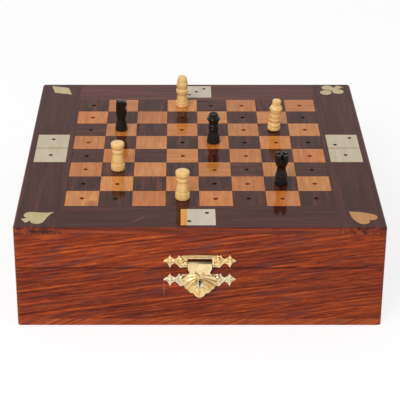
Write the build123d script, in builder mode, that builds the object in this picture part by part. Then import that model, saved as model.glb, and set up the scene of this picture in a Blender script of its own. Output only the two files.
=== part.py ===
from build123d import *

import os
from math import cos, radians, tan

# Peg chess set in a wooden box. The origin is the middle of the box's underside,
# +X is the player's right, +Y is the back and +Z is up. All sizes are in millimetres.

# The box
box_width = 203.0
box_depth = 203.0
wall_thickness = 8.0
corner_radius = 2.0
bottom_thickness = 4.1
base_height = 36.5
seam_gap = 0.2
lid_wall_height = 20.8

# The lid's top: border, squares and the panel that carries them
top_thickness = 3.9
top_edge_chamfer = 0.6
panel_thickness = 3.0
border_width = 26.14
squares_a_side = 8
glue_line = 0.04

# Peg holes and pegs
peg_hole_radius = 1.2
peg_clearance = 0.05
peg_length = 3.6
undrilled_column = 2

# Bone plates and suits let into the border
inlay_depth = 1.5
plate_width = 19.2
domino_length = 39.0
domino_inset = 13.5
domino_shift = 1.0
die_inset = 12.8
die_shift = -0.9
divider_line_width = 0.5
divider_line_depth = 0.4
pip_radius = 1.2
pip_depth = 0.9
pip_spread = 4.9
pip_stray = 3.0
suit_side_inset = 13.0
suit_front_inset = 13.5
suit_back_inset = 10.2

# Inside the base
felt_thickness = 1.0
divider_thickness = 4.0
divider_height = 24.0
divider_groove_depth = 2.0
trough_width = 31.0

# Hinges: the axis lies inside the back wall, and the bevels either side of it stop the lid
hinge_length = 22.0
hinge_spacing = 110.0
hinge_axis_inset = 3.0
knuckle_radius = 2.0
knuckle_length = 7.2
hinge_pin_radius = 0.8
running_clearance = 0.05
end_clearance = 0.2
mortise_clearance = 0.3
leaf_width = 4.6
leaf_thickness = 0.8
lid_opening = 100.0
bevel_slack = 1.0
leaf_screw_spacing = 14.0
leaf_screw_radius = 0.6
leaf_screw_length = 6.0

# Clasp, stamped from brass sheet
sheet_thickness = 0.8
clasp_height = 41.6
catch_drop = 11.55
rosette_offset = 16.4
nail_head_radius = 1.1
nail_head_height = 0.5
nail_radius = 0.5
nail_length = 4.5
hasp_width = 13.2
hasp_pivot_drop = 1.4
hasp_axis_proud = 1.3
hasp_knuckle_radius = 1.2
hasp_pin_radius = 0.6
ear_length = 1.7
window_bottom = -5.0
window_top = 1.1
knob_drop = 13.3
knob_radius = 2.4
knob_height = 2.2
knob_shank_radius = 1.0
hasp_standoff = 1.7
rib_hub_drop = 9.0
rib_height = 0.5
rib_width = 1.2
rib_edge = 0.7
rib_starts = (2.4, 2.4, 6.1, 7.4)
fan_crown = (2.6, -6.6)

# Chess men
men_a_row = 13
row_end_room = 15.5
man_end_gap = 1.5
seat_gap = 0.05
king_lean = 4.5
knight_thickness = 5.0
battlement_width = 1.8
battlement_depth = 2.8
rook_cup_radius = 2.1
rook_cup_depth = 1.8
bead_count = 8

# What repeats most is drawn with flats in place of its round, so that it has few faces
hole_flats = 8
barrel_flats = 12
lobe_flats = 16
man_flats = 16
stored_flats = 8

# Places that follow from the sizes above
half_width = box_width / 2
half_depth = box_depth / 2
inner_width = box_width - 2 * wall_thickness
inner_depth = box_depth - 2 * wall_thickness
seam_height = base_height + seam_gap / 2
lid_bottom = base_height + seam_gap
board_underside = lid_bottom + lid_wall_height
board_top = board_underside + top_thickness
felt_top = bottom_thickness + felt_thickness
square_size = (min(box_width, box_depth) - 2 * border_width) / squares_a_side
field = squares_a_side * square_size
side_border = (box_width - field) / 2
end_border = (box_depth - field) / 2
hinge_axis_y = half_depth - hinge_axis_inset
bevel_angle = (lid_opening + bevel_slack) / 2
peg_radius = peg_hole_radius - peg_clearance
man_pitch = (inner_depth - 2 * row_end_room) / (men_a_row - 1)

# Turned shapes as (radius, height) up the side, from the rim of the base
pawn_profile = [(3.8, 0), (4.15, 0.6), (4.1, 3.6), (2.75, 9.8), (3.2, 11.1), (3.2, 12.4),
                (2.95, 13.4), (3.95, 15.1), (3.95, 16.4), (3.0, 17.6)]
rook_profile = [(3.5, 0), (3.85, 0.6), (3.6, 5.0), (2.5, 9.4), (2.5, 10.6), (3.6, 12.8),
                (3.9, 15.2), (3.75, 18.8)]
bishop_profile = [(3.6, 0), (3.9, 0.6), (3.7, 2.6), (2.9, 7.5), (3.7, 9.8), (3.7, 11.2),
                  (3.4, 13.4), (3.85, 15.5), (3.2, 17.2), (2.4, 19.7), (0.8, 20.6)]
queen_profile = [(3.7, 0), (4.1, 0.6), (3.5, 2.9), (2.5, 7.8), (3.1, 9.0), (3.2, 10.7),
                 (2.9, 12.4), (3.85, 15.3), (2.9, 16.6), (2.6, 19.2)]
king_profile = [(3.6, 0), (3.95, 0.6), (3.75, 2.8), (2.6, 7.4), (3.3, 11.9), (4.0, 14.1),
                (2.9, 16.4), (2.5, 17.2), (2.5, 18.9), (1.2, 19.9)]
knight_profile = [(3.5, 0), (3.85, 0.6), (3.3, 4.0), (2.7, 8.8)]
knight_head = [(-2.4, 8.2), (-3.1, 11.2), (-3.1, 18.6), (-2.3, 20.6), (-1.1, 19.7), (3.5, 19.0),
               (3.6, 16.2), (2.4, 14.9), (3.5, 13.8), (3.3, 11.2), (2.4, 8.2)]

turned = {"pawn": pawn_profile, "rook": rook_profile, "bishop": bishop_profile,
          "queen": queen_profile, "king": king_profile, "knight": knight_profile}

# Men put away keep only these steps of their profiles
kept_steps = {"pawn": (0, 2, 3, 7, 9), "rook": (0, 2, 3, 5, 7), "bishop": (0, 3, 4, 7, 10),
              "queen": (0, 3, 7, 8, 9), "king": (0, 3, 5, 7, 9), "knight": (0, 1, 2, 3)}

os.makedirs("parts", exist_ok=True)


def save(piece, name):
    """Label a finished piece and write it as its own STEP file."""
    piece.label = name
    export_step(piece, f"parts/{name}.step")


def square_centre(column, row):
    """The middle of a square; column 0 is the a-file and row 0 is nearest the player."""
    middle = (squares_a_side - 1) / 2
    return (column - middle) * square_size, (row - middle) * square_size


def square_centres(light, columns=range(squares_a_side)):
    """The middles of the light or the dark squares in some of the columns."""
    return [
        square_centre(column, row)
        for column in columns
        for row in range(squares_a_side)
        if ((column + row) % 2 == 0) == light
    ]


def turned_stack(profile, sides):
    """A turned shape on the origin, with flats in place of its round."""
    turn = 360 / sides
    rings = [
        [Vector(radius, 0, height).rotate(Axis.Z, turn * (k + 0.5)) for k in range(sides)]
        for radius, height in profile
    ]
    faces = [Face(Wire.make_polygon(rings[0])), Face(Wire.make_polygon(rings[-1]))]
    for low, high in zip(rings, rings[1:]):
        for k in range(sides):
            after = (k + 1) % sides
            corners = [low[k], low[after], high[after], high[k]]
            faces.append(Face(Wire.make_polygon(corners)))
    return Solid(Shell(faces))


# The box's walls. Each is a quarter of the ring, mitred at its two ends.
outer_corners = [(-half_width, -half_depth), (half_width, -half_depth),
                 (half_width, half_depth), (-half_width, half_depth)]
inner_corners = [(-inner_width / 2, -inner_depth / 2), (inner_width / 2, -inner_depth / 2),
                 (inner_width / 2, inner_depth / 2), (-inner_width / 2, inner_depth / 2)]
wall_sides = ["front", "right", "back", "left"]


def mitred_wall(side, low, high):
    """One wall of the box between two heights."""
    start = wall_sides.index(side)
    end = (start + 1) % len(wall_sides)
    with BuildPart() as wall:
        with BuildSketch(Plane.XY.offset(low)):
            RectangleRounded(box_width, box_depth, corner_radius)
            with BuildLine():
                Polyline(outer_corners[start], outer_corners[end],
                         inner_corners[end], inner_corners[start], close=True)
            make_face(mode=Mode.INTERSECT)
        extrude(amount=high - low)
    return wall.part


# The V along the back of the seam. Its faces meet when the lid is fully open.
groove_reach = hinge_axis_inset + corner_radius
with BuildPart() as back_groove:
    with BuildSketch(Plane.YZ.offset(-box_width)):
        with BuildLine():
            Polyline((hinge_axis_y, seam_height),
                     (hinge_axis_y + groove_reach,
                      seam_height - groove_reach * tan(radians(bevel_angle))),
                     (hinge_axis_y + groove_reach,
                      seam_height + groove_reach * tan(radians(bevel_angle))), close=True)
        make_face()
    extrude(amount=2 * box_width)

# Room for the two barrels and their leaves in the back walls.
hinge_places = [(-hinge_spacing / 2, hinge_axis_y, seam_height),
                (hinge_spacing / 2, hinge_axis_y, seam_height)]
with BuildPart() as hinge_mortises:
    with Locations(*hinge_places):
        Box(hinge_length + 2 * mortise_clearance, 2 * (knuckle_radius + mortise_clearance),
            2 * (knuckle_radius + mortise_clearance))
        with Locations((0, -leaf_width / 2, 0)):
            Box(hinge_length + 2 * mortise_clearance, leaf_width,
                seam_gap + 2 * leaf_thickness)

leaf_screw_places = [
    (x + side * leaf_screw_spacing / 2, hinge_axis_y - (leaf_width + knuckle_radius) / 2)
    for x in (-hinge_spacing / 2, hinge_spacing / 2)
    for side in (-1, 1)
]
divider_offset = inner_width / 2 - trough_width - divider_thickness / 2
divider_length = inner_depth + 2 * divider_groove_depth
divider_top = felt_top + divider_height
nail_places = [(-rosette_offset, 0), (rosette_offset, 0)]


def face_plane(height):
    """The box's front face, with its middle at a height and its normal to the player."""
    return Plane(origin=(0, -half_depth, height), x_dir=(1, 0, 0), z_dir=(0, -1, 0))


clasp_plane = face_plane(clasp_height)
catch_plane = face_plane(clasp_height - catch_drop)

for side in wall_sides:
    with BuildPart() as base_wall:
        add(mitred_wall(side, bottom_thickness, base_height))
        if side != "front":
            add(back_groove.part, mode=Mode.SUBTRACT)
        if side == "back":
            add(hinge_mortises.part, mode=Mode.SUBTRACT)
            with BuildSketch(Plane.XY.offset(base_height - leaf_thickness)):
                with Locations(*leaf_screw_places):
                    RegularPolygon(leaf_screw_radius, hole_flats)
            extrude(amount=-leaf_screw_length, mode=Mode.SUBTRACT)
        if side == "front":
            with BuildSketch(catch_plane):
                with Locations(*nail_places):
                    RegularPolygon(nail_radius, hole_flats)
            extrude(amount=-nail_length, mode=Mode.SUBTRACT)
        if side in ("front", "back"):
            with Locations((0, 0, bottom_thickness)):
                with GridLocations(2 * divider_offset, 1, 2, 1):
                    Box(divider_thickness, divider_length, divider_top - bottom_thickness,
                        align=(Align.CENTER, Align.CENTER, Align.MIN), mode=Mode.SUBTRACT)
    save(base_wall.part, f"base_{side}_wall")

    with BuildPart() as lid_wall:
        add(mitred_wall(side, lid_bottom, board_underside))
        if side != "front":
            add(back_groove.part, mode=Mode.SUBTRACT)
        if side == "back":
            add(hinge_mortises.part, mode=Mode.SUBTRACT)
            with BuildSketch(Plane.XY.offset(lid_bottom + leaf_thickness)):
                with Locations(*leaf_screw_places):
                    RegularPolygon(leaf_screw_radius, hole_flats)
            extrude(amount=leaf_screw_length, mode=Mode.SUBTRACT)
        if side == "front":
            with BuildSketch(clasp_plane):
                with Locations(*nail_places):
                    RegularPolygon(nail_radius, hole_flats)
            extrude(amount=-nail_length, mode=Mode.SUBTRACT)
    save(lid_wall.part, f"lid_{side}_wall")

# The base's bottom, felt and dividers.
with BuildPart() as bottom_panel:
    with BuildSketch():
        RectangleRounded(box_width, box_depth, corner_radius)
    extrude(amount=bottom_thickness)
save(bottom_panel.part, "bottom_panel")

with BuildPart() as floor_lining:
    with BuildSketch(Plane.XY.offset(bottom_thickness)):
        Rectangle(inner_width, inner_depth)
    extrude(amount=felt_thickness)
save(floor_lining.part, "floor_lining")

for name, side in (("left_divider", -1), ("right_divider", 1)):
    with BuildPart() as divider:
        with BuildSketch(Plane.YZ.offset(side * divider_offset)):
            with BuildLine():
                Polyline((-divider_length / 2, bottom_thickness),
                         (-inner_depth / 2, bottom_thickness), (-inner_depth / 2, felt_top),
                         (inner_depth / 2, felt_top), (inner_depth / 2, bottom_thickness),
                         (divider_length / 2, bottom_thickness),
                         (divider_length / 2, divider_top),
                         (-divider_length / 2, divider_top), close=True)
            make_face()
        extrude(amount=divider_thickness / 2, both=True)
    save(divider.part, name)

# The lid's panel, flush with the top of its walls.
with BuildPart() as lid_panel:
    with BuildSketch(Plane.XY.offset(board_underside)):
        Rectangle(inner_width, inner_depth)
    extrude(amount=-panel_thickness)
save(lid_panel.part, "lid_panel")

# The 64 squares, each its own tile. All but the c-file's have a peg hole through them.
drilled_columns = [column for column in range(squares_a_side) if column != undrilled_column]
for name, light in (("light_squares", True), ("dark_squares", False)):
    with BuildPart() as squares:
        with BuildSketch(Plane.XY.offset(board_underside)):
            with Locations(*square_centres(light)):
                Rectangle(square_size - glue_line, square_size - glue_line)
            with Locations(*square_centres(light, drilled_columns)):
                RegularPolygon(peg_hole_radius, hole_flats, major_radius=False,
                               mode=Mode.SUBTRACT)
        extrude(amount=top_thickness)
    save(squares.part, name)


# Outlines of the four suits, about their middles, with the top or the tip along +Y.
def spade_outline():
    with BuildSketch() as suit:
        with BuildLine():
            Polyline((0, 9.8), (1.1, 6.6), (3.1, 3.6), (7.0, -1.2), (0, -4.2))
            mirror(about=Plane.YZ)
        make_face()
        with Locations((-3.9, -3.0), (3.9, -3.0)):
            RegularPolygon(3.65, lobe_flats)
        with BuildLine():
            Polyline((0, 0), (2.7, -9.6), (-2.7, -9.6), close=True)
        make_face()
    return suit.sketch


def heart_outline():
    with BuildSketch() as suit:
        with BuildLine():
            Polyline((0, 8.3), (2.6, 5.1), (5.1, 1.4), (6.6, -3.4), (0, -5.6))
            mirror(about=Plane.YZ)
        make_face()
        with Locations((-3.3, -4.4), (3.3, -4.4)):
            RegularPolygon(3.5, lobe_flats)
    return suit.sketch


def club_outline():
    with BuildSketch() as suit:
        with Locations((0, 5.3), (-4.6, -1.6), (4.6, -1.6)):
            RegularPolygon(3.7, lobe_flats)
        with BuildLine():
            Polyline((0, 4.0), (2.4, -9.2), (-2.4, -9.2), close=True)
        make_face()
    return suit.sketch


def diamond_outline():
    with BuildSketch() as suit:
        with BuildLine():
            Polyline((0, 9.9), (5.8, 0), (0, -9.9), (-5.8, 0), close=True)
        make_face()
    return suit.sketch


suits = {
    "spade": (spade_outline(), -1, -(half_depth - suit_front_inset), -57.5),
    "heart": (heart_outline(), 1, -(half_depth - suit_front_inset), 45),
    "club": (club_outline(), 1, half_depth - suit_back_inset, 135),
    "diamond": (diamond_outline(), -1, half_depth - suit_back_inset, 44),
}


def suit_location(name):
    """Where a suit lies, in the plane of the board's top."""
    _, side, y, turn = suits[name]
    return Location((side * (half_width - suit_side_inset), y, board_top), (0, 0, turn))


# Plates: name, middle, length along Y and the pips as steps from the middle of each half.
one = [(0, 0)]
two = [(-1, -1), (1, 1)]
three = [(-1, -1), (0, 0), (1, 1)]
half = domino_length / 4
domino_x = half_width - domino_inset
die_y = half_depth - die_inset
plates = {
    "domino_left": ((-domino_x, domino_shift), domino_length, {-half: one, half + pip_stray: one}),
    "domino_right": ((domino_x, domino_shift), domino_length, {-half: one, half: two}),
    "die_front": ((die_shift, -die_y), plate_width, {0: two}),
    "die_back": ((0, die_y), plate_width, {0: three}),
}

for name, (middle, length, halves) in plates.items():
    with BuildPart() as plate:
        with BuildSketch(Plane.XY.offset(board_top)):
            with Locations(middle):
                Rectangle(plate_width - glue_line, length - glue_line)
        extrude(amount=-inlay_depth)
        with BuildSketch(Plane.XY.offset(board_top)):
            for offset_y, pips in halves.items():
                with Locations(*[(middle[0] + pip_spread * step_x,
                                  middle[1] + offset_y + pip_spread * step_y)
                                 for step_x, step_y in pips]):
                    RegularPolygon(pip_radius, hole_flats, major_radius=False)
        extrude(amount=-pip_depth, mode=Mode.SUBTRACT)
        if length > plate_width:
            with Locations((*middle, board_top)):
                Box(plate_width, divider_line_width, 2 * divider_line_depth,
                    mode=Mode.SUBTRACT)
    save(plate.part, name)

for name, (outline, _, _, _) in suits.items():
    with BuildPart() as inlay:
        extrude(outline, amount=-inlay_depth)
    save(inlay.part.moved(suit_location(name)), f"{name}_inlay")

# The border's strips. The side strips run the full depth, the others lie between them.
strips = {
    "border_left": (-(field + side_border) / 2, 0, side_border, box_depth),
    "border_right": ((field + side_border) / 2, 0, side_border, box_depth),
    "border_front": (0, -(field + end_border) / 2, field, end_border),
    "border_back": (0, (field + end_border) / 2, field, end_border),
}

for name, (x, y, width, depth) in strips.items():
    with BuildPart() as strip:
        with BuildSketch(Plane.XY.offset(board_underside)):
            RectangleRounded(box_width, box_depth, corner_radius)
            with Locations((x, y)):
                Rectangle(width, depth, mode=Mode.INTERSECT)
        extrude(amount=top_thickness)
        rim = strip.edges().group_by(Axis.Z)[-1]
        outer = [edge for edge in rim
                 if max(abs(edge.center().X) / half_width, abs(edge.center().Y) / half_depth)
                 > 1 - corner_radius / half_width]
        chamfer(outer, length=top_edge_chamfer)
        for (px, py), length, _ in plates.values():
            with Locations((px, py, board_top)):
                Box(plate_width, length, 2 * inlay_depth, mode=Mode.SUBTRACT)
        for suit_name, (outline, _, _, _) in suits.items():
            extrude(outline.moved(suit_location(suit_name)), amount=-inlay_depth,
                    mode=Mode.SUBTRACT)
    save(strip.part, name)


def barrel(radius, length, bore=False):
    """A bar along X about the origin, or what cuts a bore that clears such a bar."""
    with BuildPart() as bar:
        with BuildSketch(Plane.YZ):
            RegularPolygon(radius, barrel_flats, major_radius=not bore)
        extrude(amount=length / 2, both=True)
    return bar.part


# Hinges. Both hinges' leaves are alike, so each set is one group of two.
def hinge_leaves(fold, knuckle_offsets):
    """Two leaves with their knuckles; fold is -1 for the base's and 1 for the lid's."""
    knuckle_reach = knuckle_length / 2 + end_clearance
    with BuildPart() as leaves:
        for place in hinge_places:
            with Locations(place):
                with Locations((0, -leaf_width / 2,
                                fold * (seam_gap + leaf_thickness) / 2)):
                    Box(hinge_length, leaf_width, leaf_thickness)
                for step in (-1, 0, 1):
                    if step not in knuckle_offsets:
                        with Locations((step * (hinge_length - knuckle_length) / 2, 0, 0)):
                            add(barrel(knuckle_radius + mortise_clearance, 2 * knuckle_reach,
                                       bore=True), mode=Mode.SUBTRACT)
                for step in knuckle_offsets:
                    with Locations((step * (hinge_length - knuckle_length) / 2, 0, 0)):
                        add(barrel(knuckle_radius, knuckle_length))
                add(barrel(hinge_pin_radius + running_clearance, hinge_length, bore=True),
                    mode=Mode.SUBTRACT)
        leaf_side = Plane.XY.offset(seam_height + fold * seam_gap / 2)
        with BuildSketch(leaf_side):
            with Locations(*leaf_screw_places):
                RegularPolygon(leaf_screw_radius + running_clearance, hole_flats)
        extrude(amount=fold * leaf_thickness, mode=Mode.SUBTRACT)
    return leaves.part


save(hinge_leaves(-1, (-1, 1)), "base_hinge_leaves")
save(hinge_leaves(1, (0,)), "lid_hinge_leaves")

with BuildPart() as hinge_pins:
    with Locations(*hinge_places):
        add(barrel(hinge_pin_radius, hinge_length))
save(hinge_pins.part, "hinge_pins")

for name, fold in (("base_hinge_screws", -1), ("lid_hinge_screws", 1)):
    with BuildPart() as screws:
        with BuildSketch(Plane.XY.offset(seam_height + fold * seam_gap / 2)):
            with Locations(*leaf_screw_places):
                RegularPolygon(leaf_screw_radius, hole_flats)
        extrude(amount=fold * (leaf_thickness + leaf_screw_length))
    save(screws.part, name)


# Clasp. Both plates have the same stamped outline, with a rosette at each end.
def plate_outline():
    with BuildSketch() as outline:
        with BuildLine():
            Polyline((0, 3.5), (9.6, 3.2), (10.3, 2.7), (11.4, 3.7), (12.2, 2.1), (13.6, 1.0),
                     (15.2, 1.9), (rosette_offset, 3.9), (17.7, 1.5), (19.8, 0.4),
                     (19.8, -0.4), (17.7, -1.6), (rosette_offset, -4.0), (15.1, -2.2),
                     (13.6, -1.4), (12.2, -2.4), (10.8, -4.2), (0, -4.2))
            mirror(about=Plane.YZ)
        make_face()
        with Locations(*nail_places):
            RegularPolygon(nail_radius + running_clearance, hole_flats, mode=Mode.SUBTRACT)
    return outline.sketch


hasp_axis = (0, -half_depth - hasp_axis_proud, clasp_height - hasp_pivot_drop)
ear_offset = hasp_width / 2 + end_clearance + ear_length / 2

with BuildPart() as hasp_plate:
    with BuildSketch(clasp_plane):
        add(plate_outline())
        with Locations((0, window_top)):
            Rectangle(hasp_width + 2 * end_clearance, window_top - window_bottom,
                      align=(Align.CENTER, Align.MAX), mode=Mode.SUBTRACT)
    extrude(amount=sheet_thickness)
    with Locations(hasp_axis):
        with Locations((-ear_offset, 0, 0), (ear_offset, 0, 0)):
            add(barrel(hasp_knuckle_radius, ear_length))
        add(barrel(hasp_pin_radius + running_clearance, 3 * hasp_width, bore=True),
            mode=Mode.SUBTRACT)
save(hasp_plate.part, "hasp_plate")

with BuildPart() as hasp_pin:
    with Locations(hasp_axis):
        add(barrel(hasp_pin_radius, 2 * ear_offset + ear_length))
save(hasp_pin.part, "hasp_pin")

with BuildPart() as catch_plate:
    with BuildSketch(catch_plane):
        add(plate_outline())
    extrude(amount=sheet_thickness)
save(catch_plate.part, "catch_plate")

nail_profile = [(nail_head_radius, 0), (0.85 * nail_head_radius, 0.6 * nail_head_height),
                (0.4 * nail_head_radius, nail_head_height)]
for name, plane in (("hasp_plate_nails", clasp_plane), ("catch_plate_nails", catch_plane)):
    with BuildPart() as nails:
        with Locations(*[plane.offset(sheet_thickness) * Location((x, y, 0))
                         for x, y in nail_places]):
            add(turned_stack(nail_profile, hole_flats))
        with BuildSketch(plane.offset(sheet_thickness)):
            with Locations(*nail_places):
                RegularPolygon(nail_radius, hole_flats)
        extrude(amount=-(sheet_thickness + nail_length))
    save(nails.part, name)

# The hasp: a curled knuckle, a tongue and a fan of ribs with a scalloped edge.
fan_points = [(9.8, -11.3), (8.6, -14.3), (6.7, -17.2), (3.4, -19.6), (0, -22.4)]
fan_bulge = 0.35
hub = Vector(0, -rib_hub_drop)
hasp_plane = clasp_plane.offset(hasp_standoff)
hasp_face = hasp_plane.offset(sheet_thickness)


def hasp_outline():
    with BuildSketch() as outline:
        with BuildLine():
            Polyline((0, -hasp_pivot_drop), (hasp_width / 2, -hasp_pivot_drop),
                     (hasp_width / 2, -4.4), (5.5, -6.8), fan_points[0])
            for start, end in zip(fan_points, fan_points[1:]):
                middle = (Vector(*start) + Vector(*end)) / 2
                outward = (Vector(*start) - Vector(*end)).rotate(Axis.Z, 90).normalized()
                ThreePointArc(start, middle + outward * fan_bulge, end)
            mirror(about=Plane.YZ)
        make_face()
        with Locations((0, -knob_drop)):
            RegularPolygon(knob_shank_radius, hole_flats, mode=Mode.SUBTRACT)
    return outline.sketch


def rib(start, end):
    """A raised rib with a sharp crest, between two points of the hasp's face."""
    run = end - start
    with BuildPart() as ridge:
        with BuildSketch(Plane(origin=start, x_dir=(0, 0, 1), z_dir=run)):
            with BuildLine():
                Polyline((0, -rib_width / 2), (rib_height, 0), (0, rib_width / 2), close=True)
            make_face()
        extrude(amount=run.length)
    return ridge.part


# Ribs run from the hub to the middle of each scallop, and those below the knob start past it.
with BuildPart() as ribs:
    for low, high, first in zip(fan_points[1:], fan_points, rib_starts):
        reach = (Vector(*low) + Vector(*high)) / 2 - hub
        toward = reach.normalized()
        add(rib(hub + toward * first, hub + toward * (reach.length - rib_edge)))
    add(rib(hub, Vector(*fan_crown)))
    mirror(about=Plane.YZ)

with BuildPart() as hasp:
    with BuildSketch(hasp_plane):
        add(hasp_outline())
    extrude(amount=sheet_thickness)
    add(ribs.part.moved(hasp_face.location))
    with Locations(hasp_axis):
        add(barrel(hasp_knuckle_radius, hasp_width))
        add(barrel(hasp_pin_radius + running_clearance, hasp_width, bore=True),
            mode=Mode.SUBTRACT)
save(hasp.part, "hasp")

knob_profile = [(knob_radius, 0), (0.92 * knob_radius, 0.4 * knob_height),
                (0.6 * knob_radius, 0.83 * knob_height), (0.2 * knob_radius, knob_height)]
with BuildPart() as hasp_knob:
    add(turned_stack(knob_profile, man_flats))
    with BuildSketch():
        RegularPolygon(knob_shank_radius, hole_flats)
    extrude(amount=-sheet_thickness)
save(hasp_knob.part.moved(hasp_face * Location((0, -knob_drop, 0))), "hasp_knob")


def pegged(body, sides):
    """A man's body with its peg below it."""
    with BuildPart() as man:
        add(body)
        with BuildSketch():
            RegularPolygon(peg_radius, sides, rotation=180 / sides)
        extrude(amount=-peg_length)
    return man.part


def knight_body(sides):
    with BuildPart() as man:
        add(turned_stack(knight_profile, sides))
        with BuildSketch(Plane.XZ):
            with BuildLine():
                Polyline(*knight_head, close=True)
            make_face()
        extrude(amount=knight_thickness / 2, both=True)
    return man.part


def rook_body():
    top = rook_profile[-1][1]
    with BuildPart() as man:
        add(turned_stack(rook_profile, man_flats))
        with BuildSketch(Plane.XY.offset(top)):
            RegularPolygon(rook_cup_radius, stored_flats)
        extrude(amount=-rook_cup_depth, mode=Mode.SUBTRACT)
        with Locations((0, 0, top)):
            for turn in (0, 90):
                Box(battlement_width, 4 * rook_cup_radius, 2 * battlement_depth,
                    rotation=(0, 0, turn), mode=Mode.SUBTRACT)
    return man.part


def queen_body():
    coronet_radius, coronet_top = queen_profile[-1]
    with BuildPart() as man:
        add(turned_stack(queen_profile, man_flats))
        with Locations((0, 0, coronet_top)):
            with PolarLocations(coronet_radius, bead_count):
                Box(1.0, 0.9, 1.6, mode=Mode.SUBTRACT)
    return man.part


def leaning(body, rim_radius, lean):
    """The body tipped over one side of its rim, above a peg that is still upright."""
    with BuildPart() as tipped:
        add(body.rotate(Axis((rim_radius, 0, 0), (0, 1, 0)), lean))
        with BuildSketch(Plane.XY.offset(rim_radius * tan(radians(lean)))):
            RegularPolygon(peg_radius, stored_flats)
        extrude(amount=-rim_radius * tan(radians(lean)))
    return tipped.part


on_board = {
    "white_bishop_d8": (turned_stack(bishop_profile, man_flats), 3, 7),
    "black_knight_b6": (knight_body(man_flats), 1, 5),
    "white_king_g6": (leaning(turned_stack(king_profile, man_flats), king_profile[1][0],
                              king_lean), 6, 5),
    "black_queen_e5": (queen_body(), 4, 4),
    "white_pawn_b3": (turned_stack(pawn_profile, man_flats), 1, 2),
    "black_rook_g2": (rook_body(), 6, 1),
    "white_pawn_d1": (turned_stack(pawn_profile, man_flats), 3, 0),
}
for name, (body, column, row) in on_board.items():
    x, y = square_centre(column, row)
    save(pegged(body, stored_flats).moved(Location((x, y, board_top))), name)


# Men put away. Many are alike, so each has few flats and only the main steps.
def stored_profile(kind):
    return [turned[kind][step] for step in kept_steps[kind]]


def stored_man(kind):
    """A man to lie on its side; a knight's flat cheek is then undermost."""
    body = turned_stack(stored_profile(kind), stored_flats)
    if kind == "knight":
        body = knight_body(stored_flats).rotate(Axis.Z, 90)
    return pegged(body, stored_flats)


base_x = inner_width / 2 - man_end_gap - peg_length
put_away = {
    "white": (-1, ["queen", "bishop", "knight", "knight", "rook", "rook"] + 6 * ["pawn"]),
    "black": (1, ["king", "bishop", "bishop", "knight", "rook"] + 8 * ["pawn"]),
}
for colour, (side, row) in put_away.items():
    for kind in sorted(set(row)):
        lying = stored_man(kind)
        widest = max(radius for radius, _ in stored_profile(kind))
        lying_height = felt_top + seat_gap + widest * cos(radians(180 / stored_flats))
        with BuildPart() as group:
            for place, name in enumerate(row):
                if name == kind:
                    y = (place - (len(row) - 1) / 2) * man_pitch
                    with Locations(Location((side * base_x, y, lying_height),
                                            (0, -90 * side, 0))):
                        add(lying)
        plural = "s" if row.count(kind) > 1 else ""
        save(group.part, f"stored_{colour}_{kind}{plural}")
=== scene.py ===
# A small wooden travelling chess set: a lacquered box whose hinged lid is the board.
# Everything here is drawn in millimetres in the frame of the CAD and made into metres as it is
# turned into a piece. The origin is the middle of the box's underside, +Y is the back. Only the
# lamp and the camera are placed in metres.

import math
import random

import bmesh
import bpy
from mathutils import Matrix, Vector


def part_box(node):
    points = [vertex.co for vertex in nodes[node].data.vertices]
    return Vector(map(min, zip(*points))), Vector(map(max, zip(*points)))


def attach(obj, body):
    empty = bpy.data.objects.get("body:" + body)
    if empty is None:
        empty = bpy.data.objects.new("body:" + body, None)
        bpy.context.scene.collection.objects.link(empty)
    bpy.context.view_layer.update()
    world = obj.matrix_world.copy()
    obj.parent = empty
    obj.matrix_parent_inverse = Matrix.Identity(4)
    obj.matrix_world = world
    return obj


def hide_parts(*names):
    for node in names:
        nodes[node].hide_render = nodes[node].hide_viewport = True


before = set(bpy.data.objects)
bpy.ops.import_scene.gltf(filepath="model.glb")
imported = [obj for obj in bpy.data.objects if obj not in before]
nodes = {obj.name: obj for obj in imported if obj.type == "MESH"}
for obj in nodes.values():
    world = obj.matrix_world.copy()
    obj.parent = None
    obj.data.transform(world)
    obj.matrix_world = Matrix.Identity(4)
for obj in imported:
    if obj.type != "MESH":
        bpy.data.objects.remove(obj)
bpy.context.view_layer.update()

MM = 0.001

# Places taken from the frame, in millimetres
board_low, board_high = (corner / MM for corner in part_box("dark_squares"))
base_low, base_high = (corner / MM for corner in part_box("base_front_wall"))
lid_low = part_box("lid_front_wall")[0] / MM
felt_low, felt_high = (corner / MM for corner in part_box("floor_lining"))
board_top = board_high.z
board_underside = board_low.z
front_y = base_low.y
glue_line = 0.04
square_size = (board_high.x - board_low.x + glue_line) / 8
seam_height = (base_high.z + lid_low.z) / 2


def middle_of(node):
    """The middle of a CAD node's box, in millimetres."""
    low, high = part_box(node)
    return (low + high) / 2 / MM


# Mesh helpers


def flowing(points, steps=4, closed=False):
    """A smooth line through the points; a point that is given twice is a corner."""
    count = len(points)
    line = []
    for k in range(count if closed else count - 1):
        around = [
            points[(k + step) % count] if closed else points[min(max(k + step, 0), count - 1)]
            for step in (-1, 0, 1, 2)
        ]
        before, start, end, after = (Vector(point) for point in around)
        if (end - start).length < 1e-6:
            continue
        for step in range(steps):
            t = step / steps
            line.append(
                0.5 * (2 * start + (end - before) * t
                       + (2 * before - 5 * start + 4 * end - after) * t ** 2
                       + (3 * start - before - 3 * end + after) * t ** 3))
    if not closed:
        line.append(Vector(points[-1]))
    return line


def arc(centre, radius, start, end, steps=14):
    """Points round part of a circle, between two angles in degrees."""
    turns = [math.radians(start + (end - start) * step / steps) for step in range(steps + 1)]
    return [Vector((centre[0] + radius * math.cos(turn), centre[1] + radius * math.sin(turn)))
            for turn in turns]


def both_sides(right):
    """A closed outline from its right-hand half, which runs from the top to the foot."""
    right = [Vector(point) for point in right]
    left = [Vector((-point.x, point.y)) for point in reversed(right) if point.x > 1e-6]
    return right + left


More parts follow.
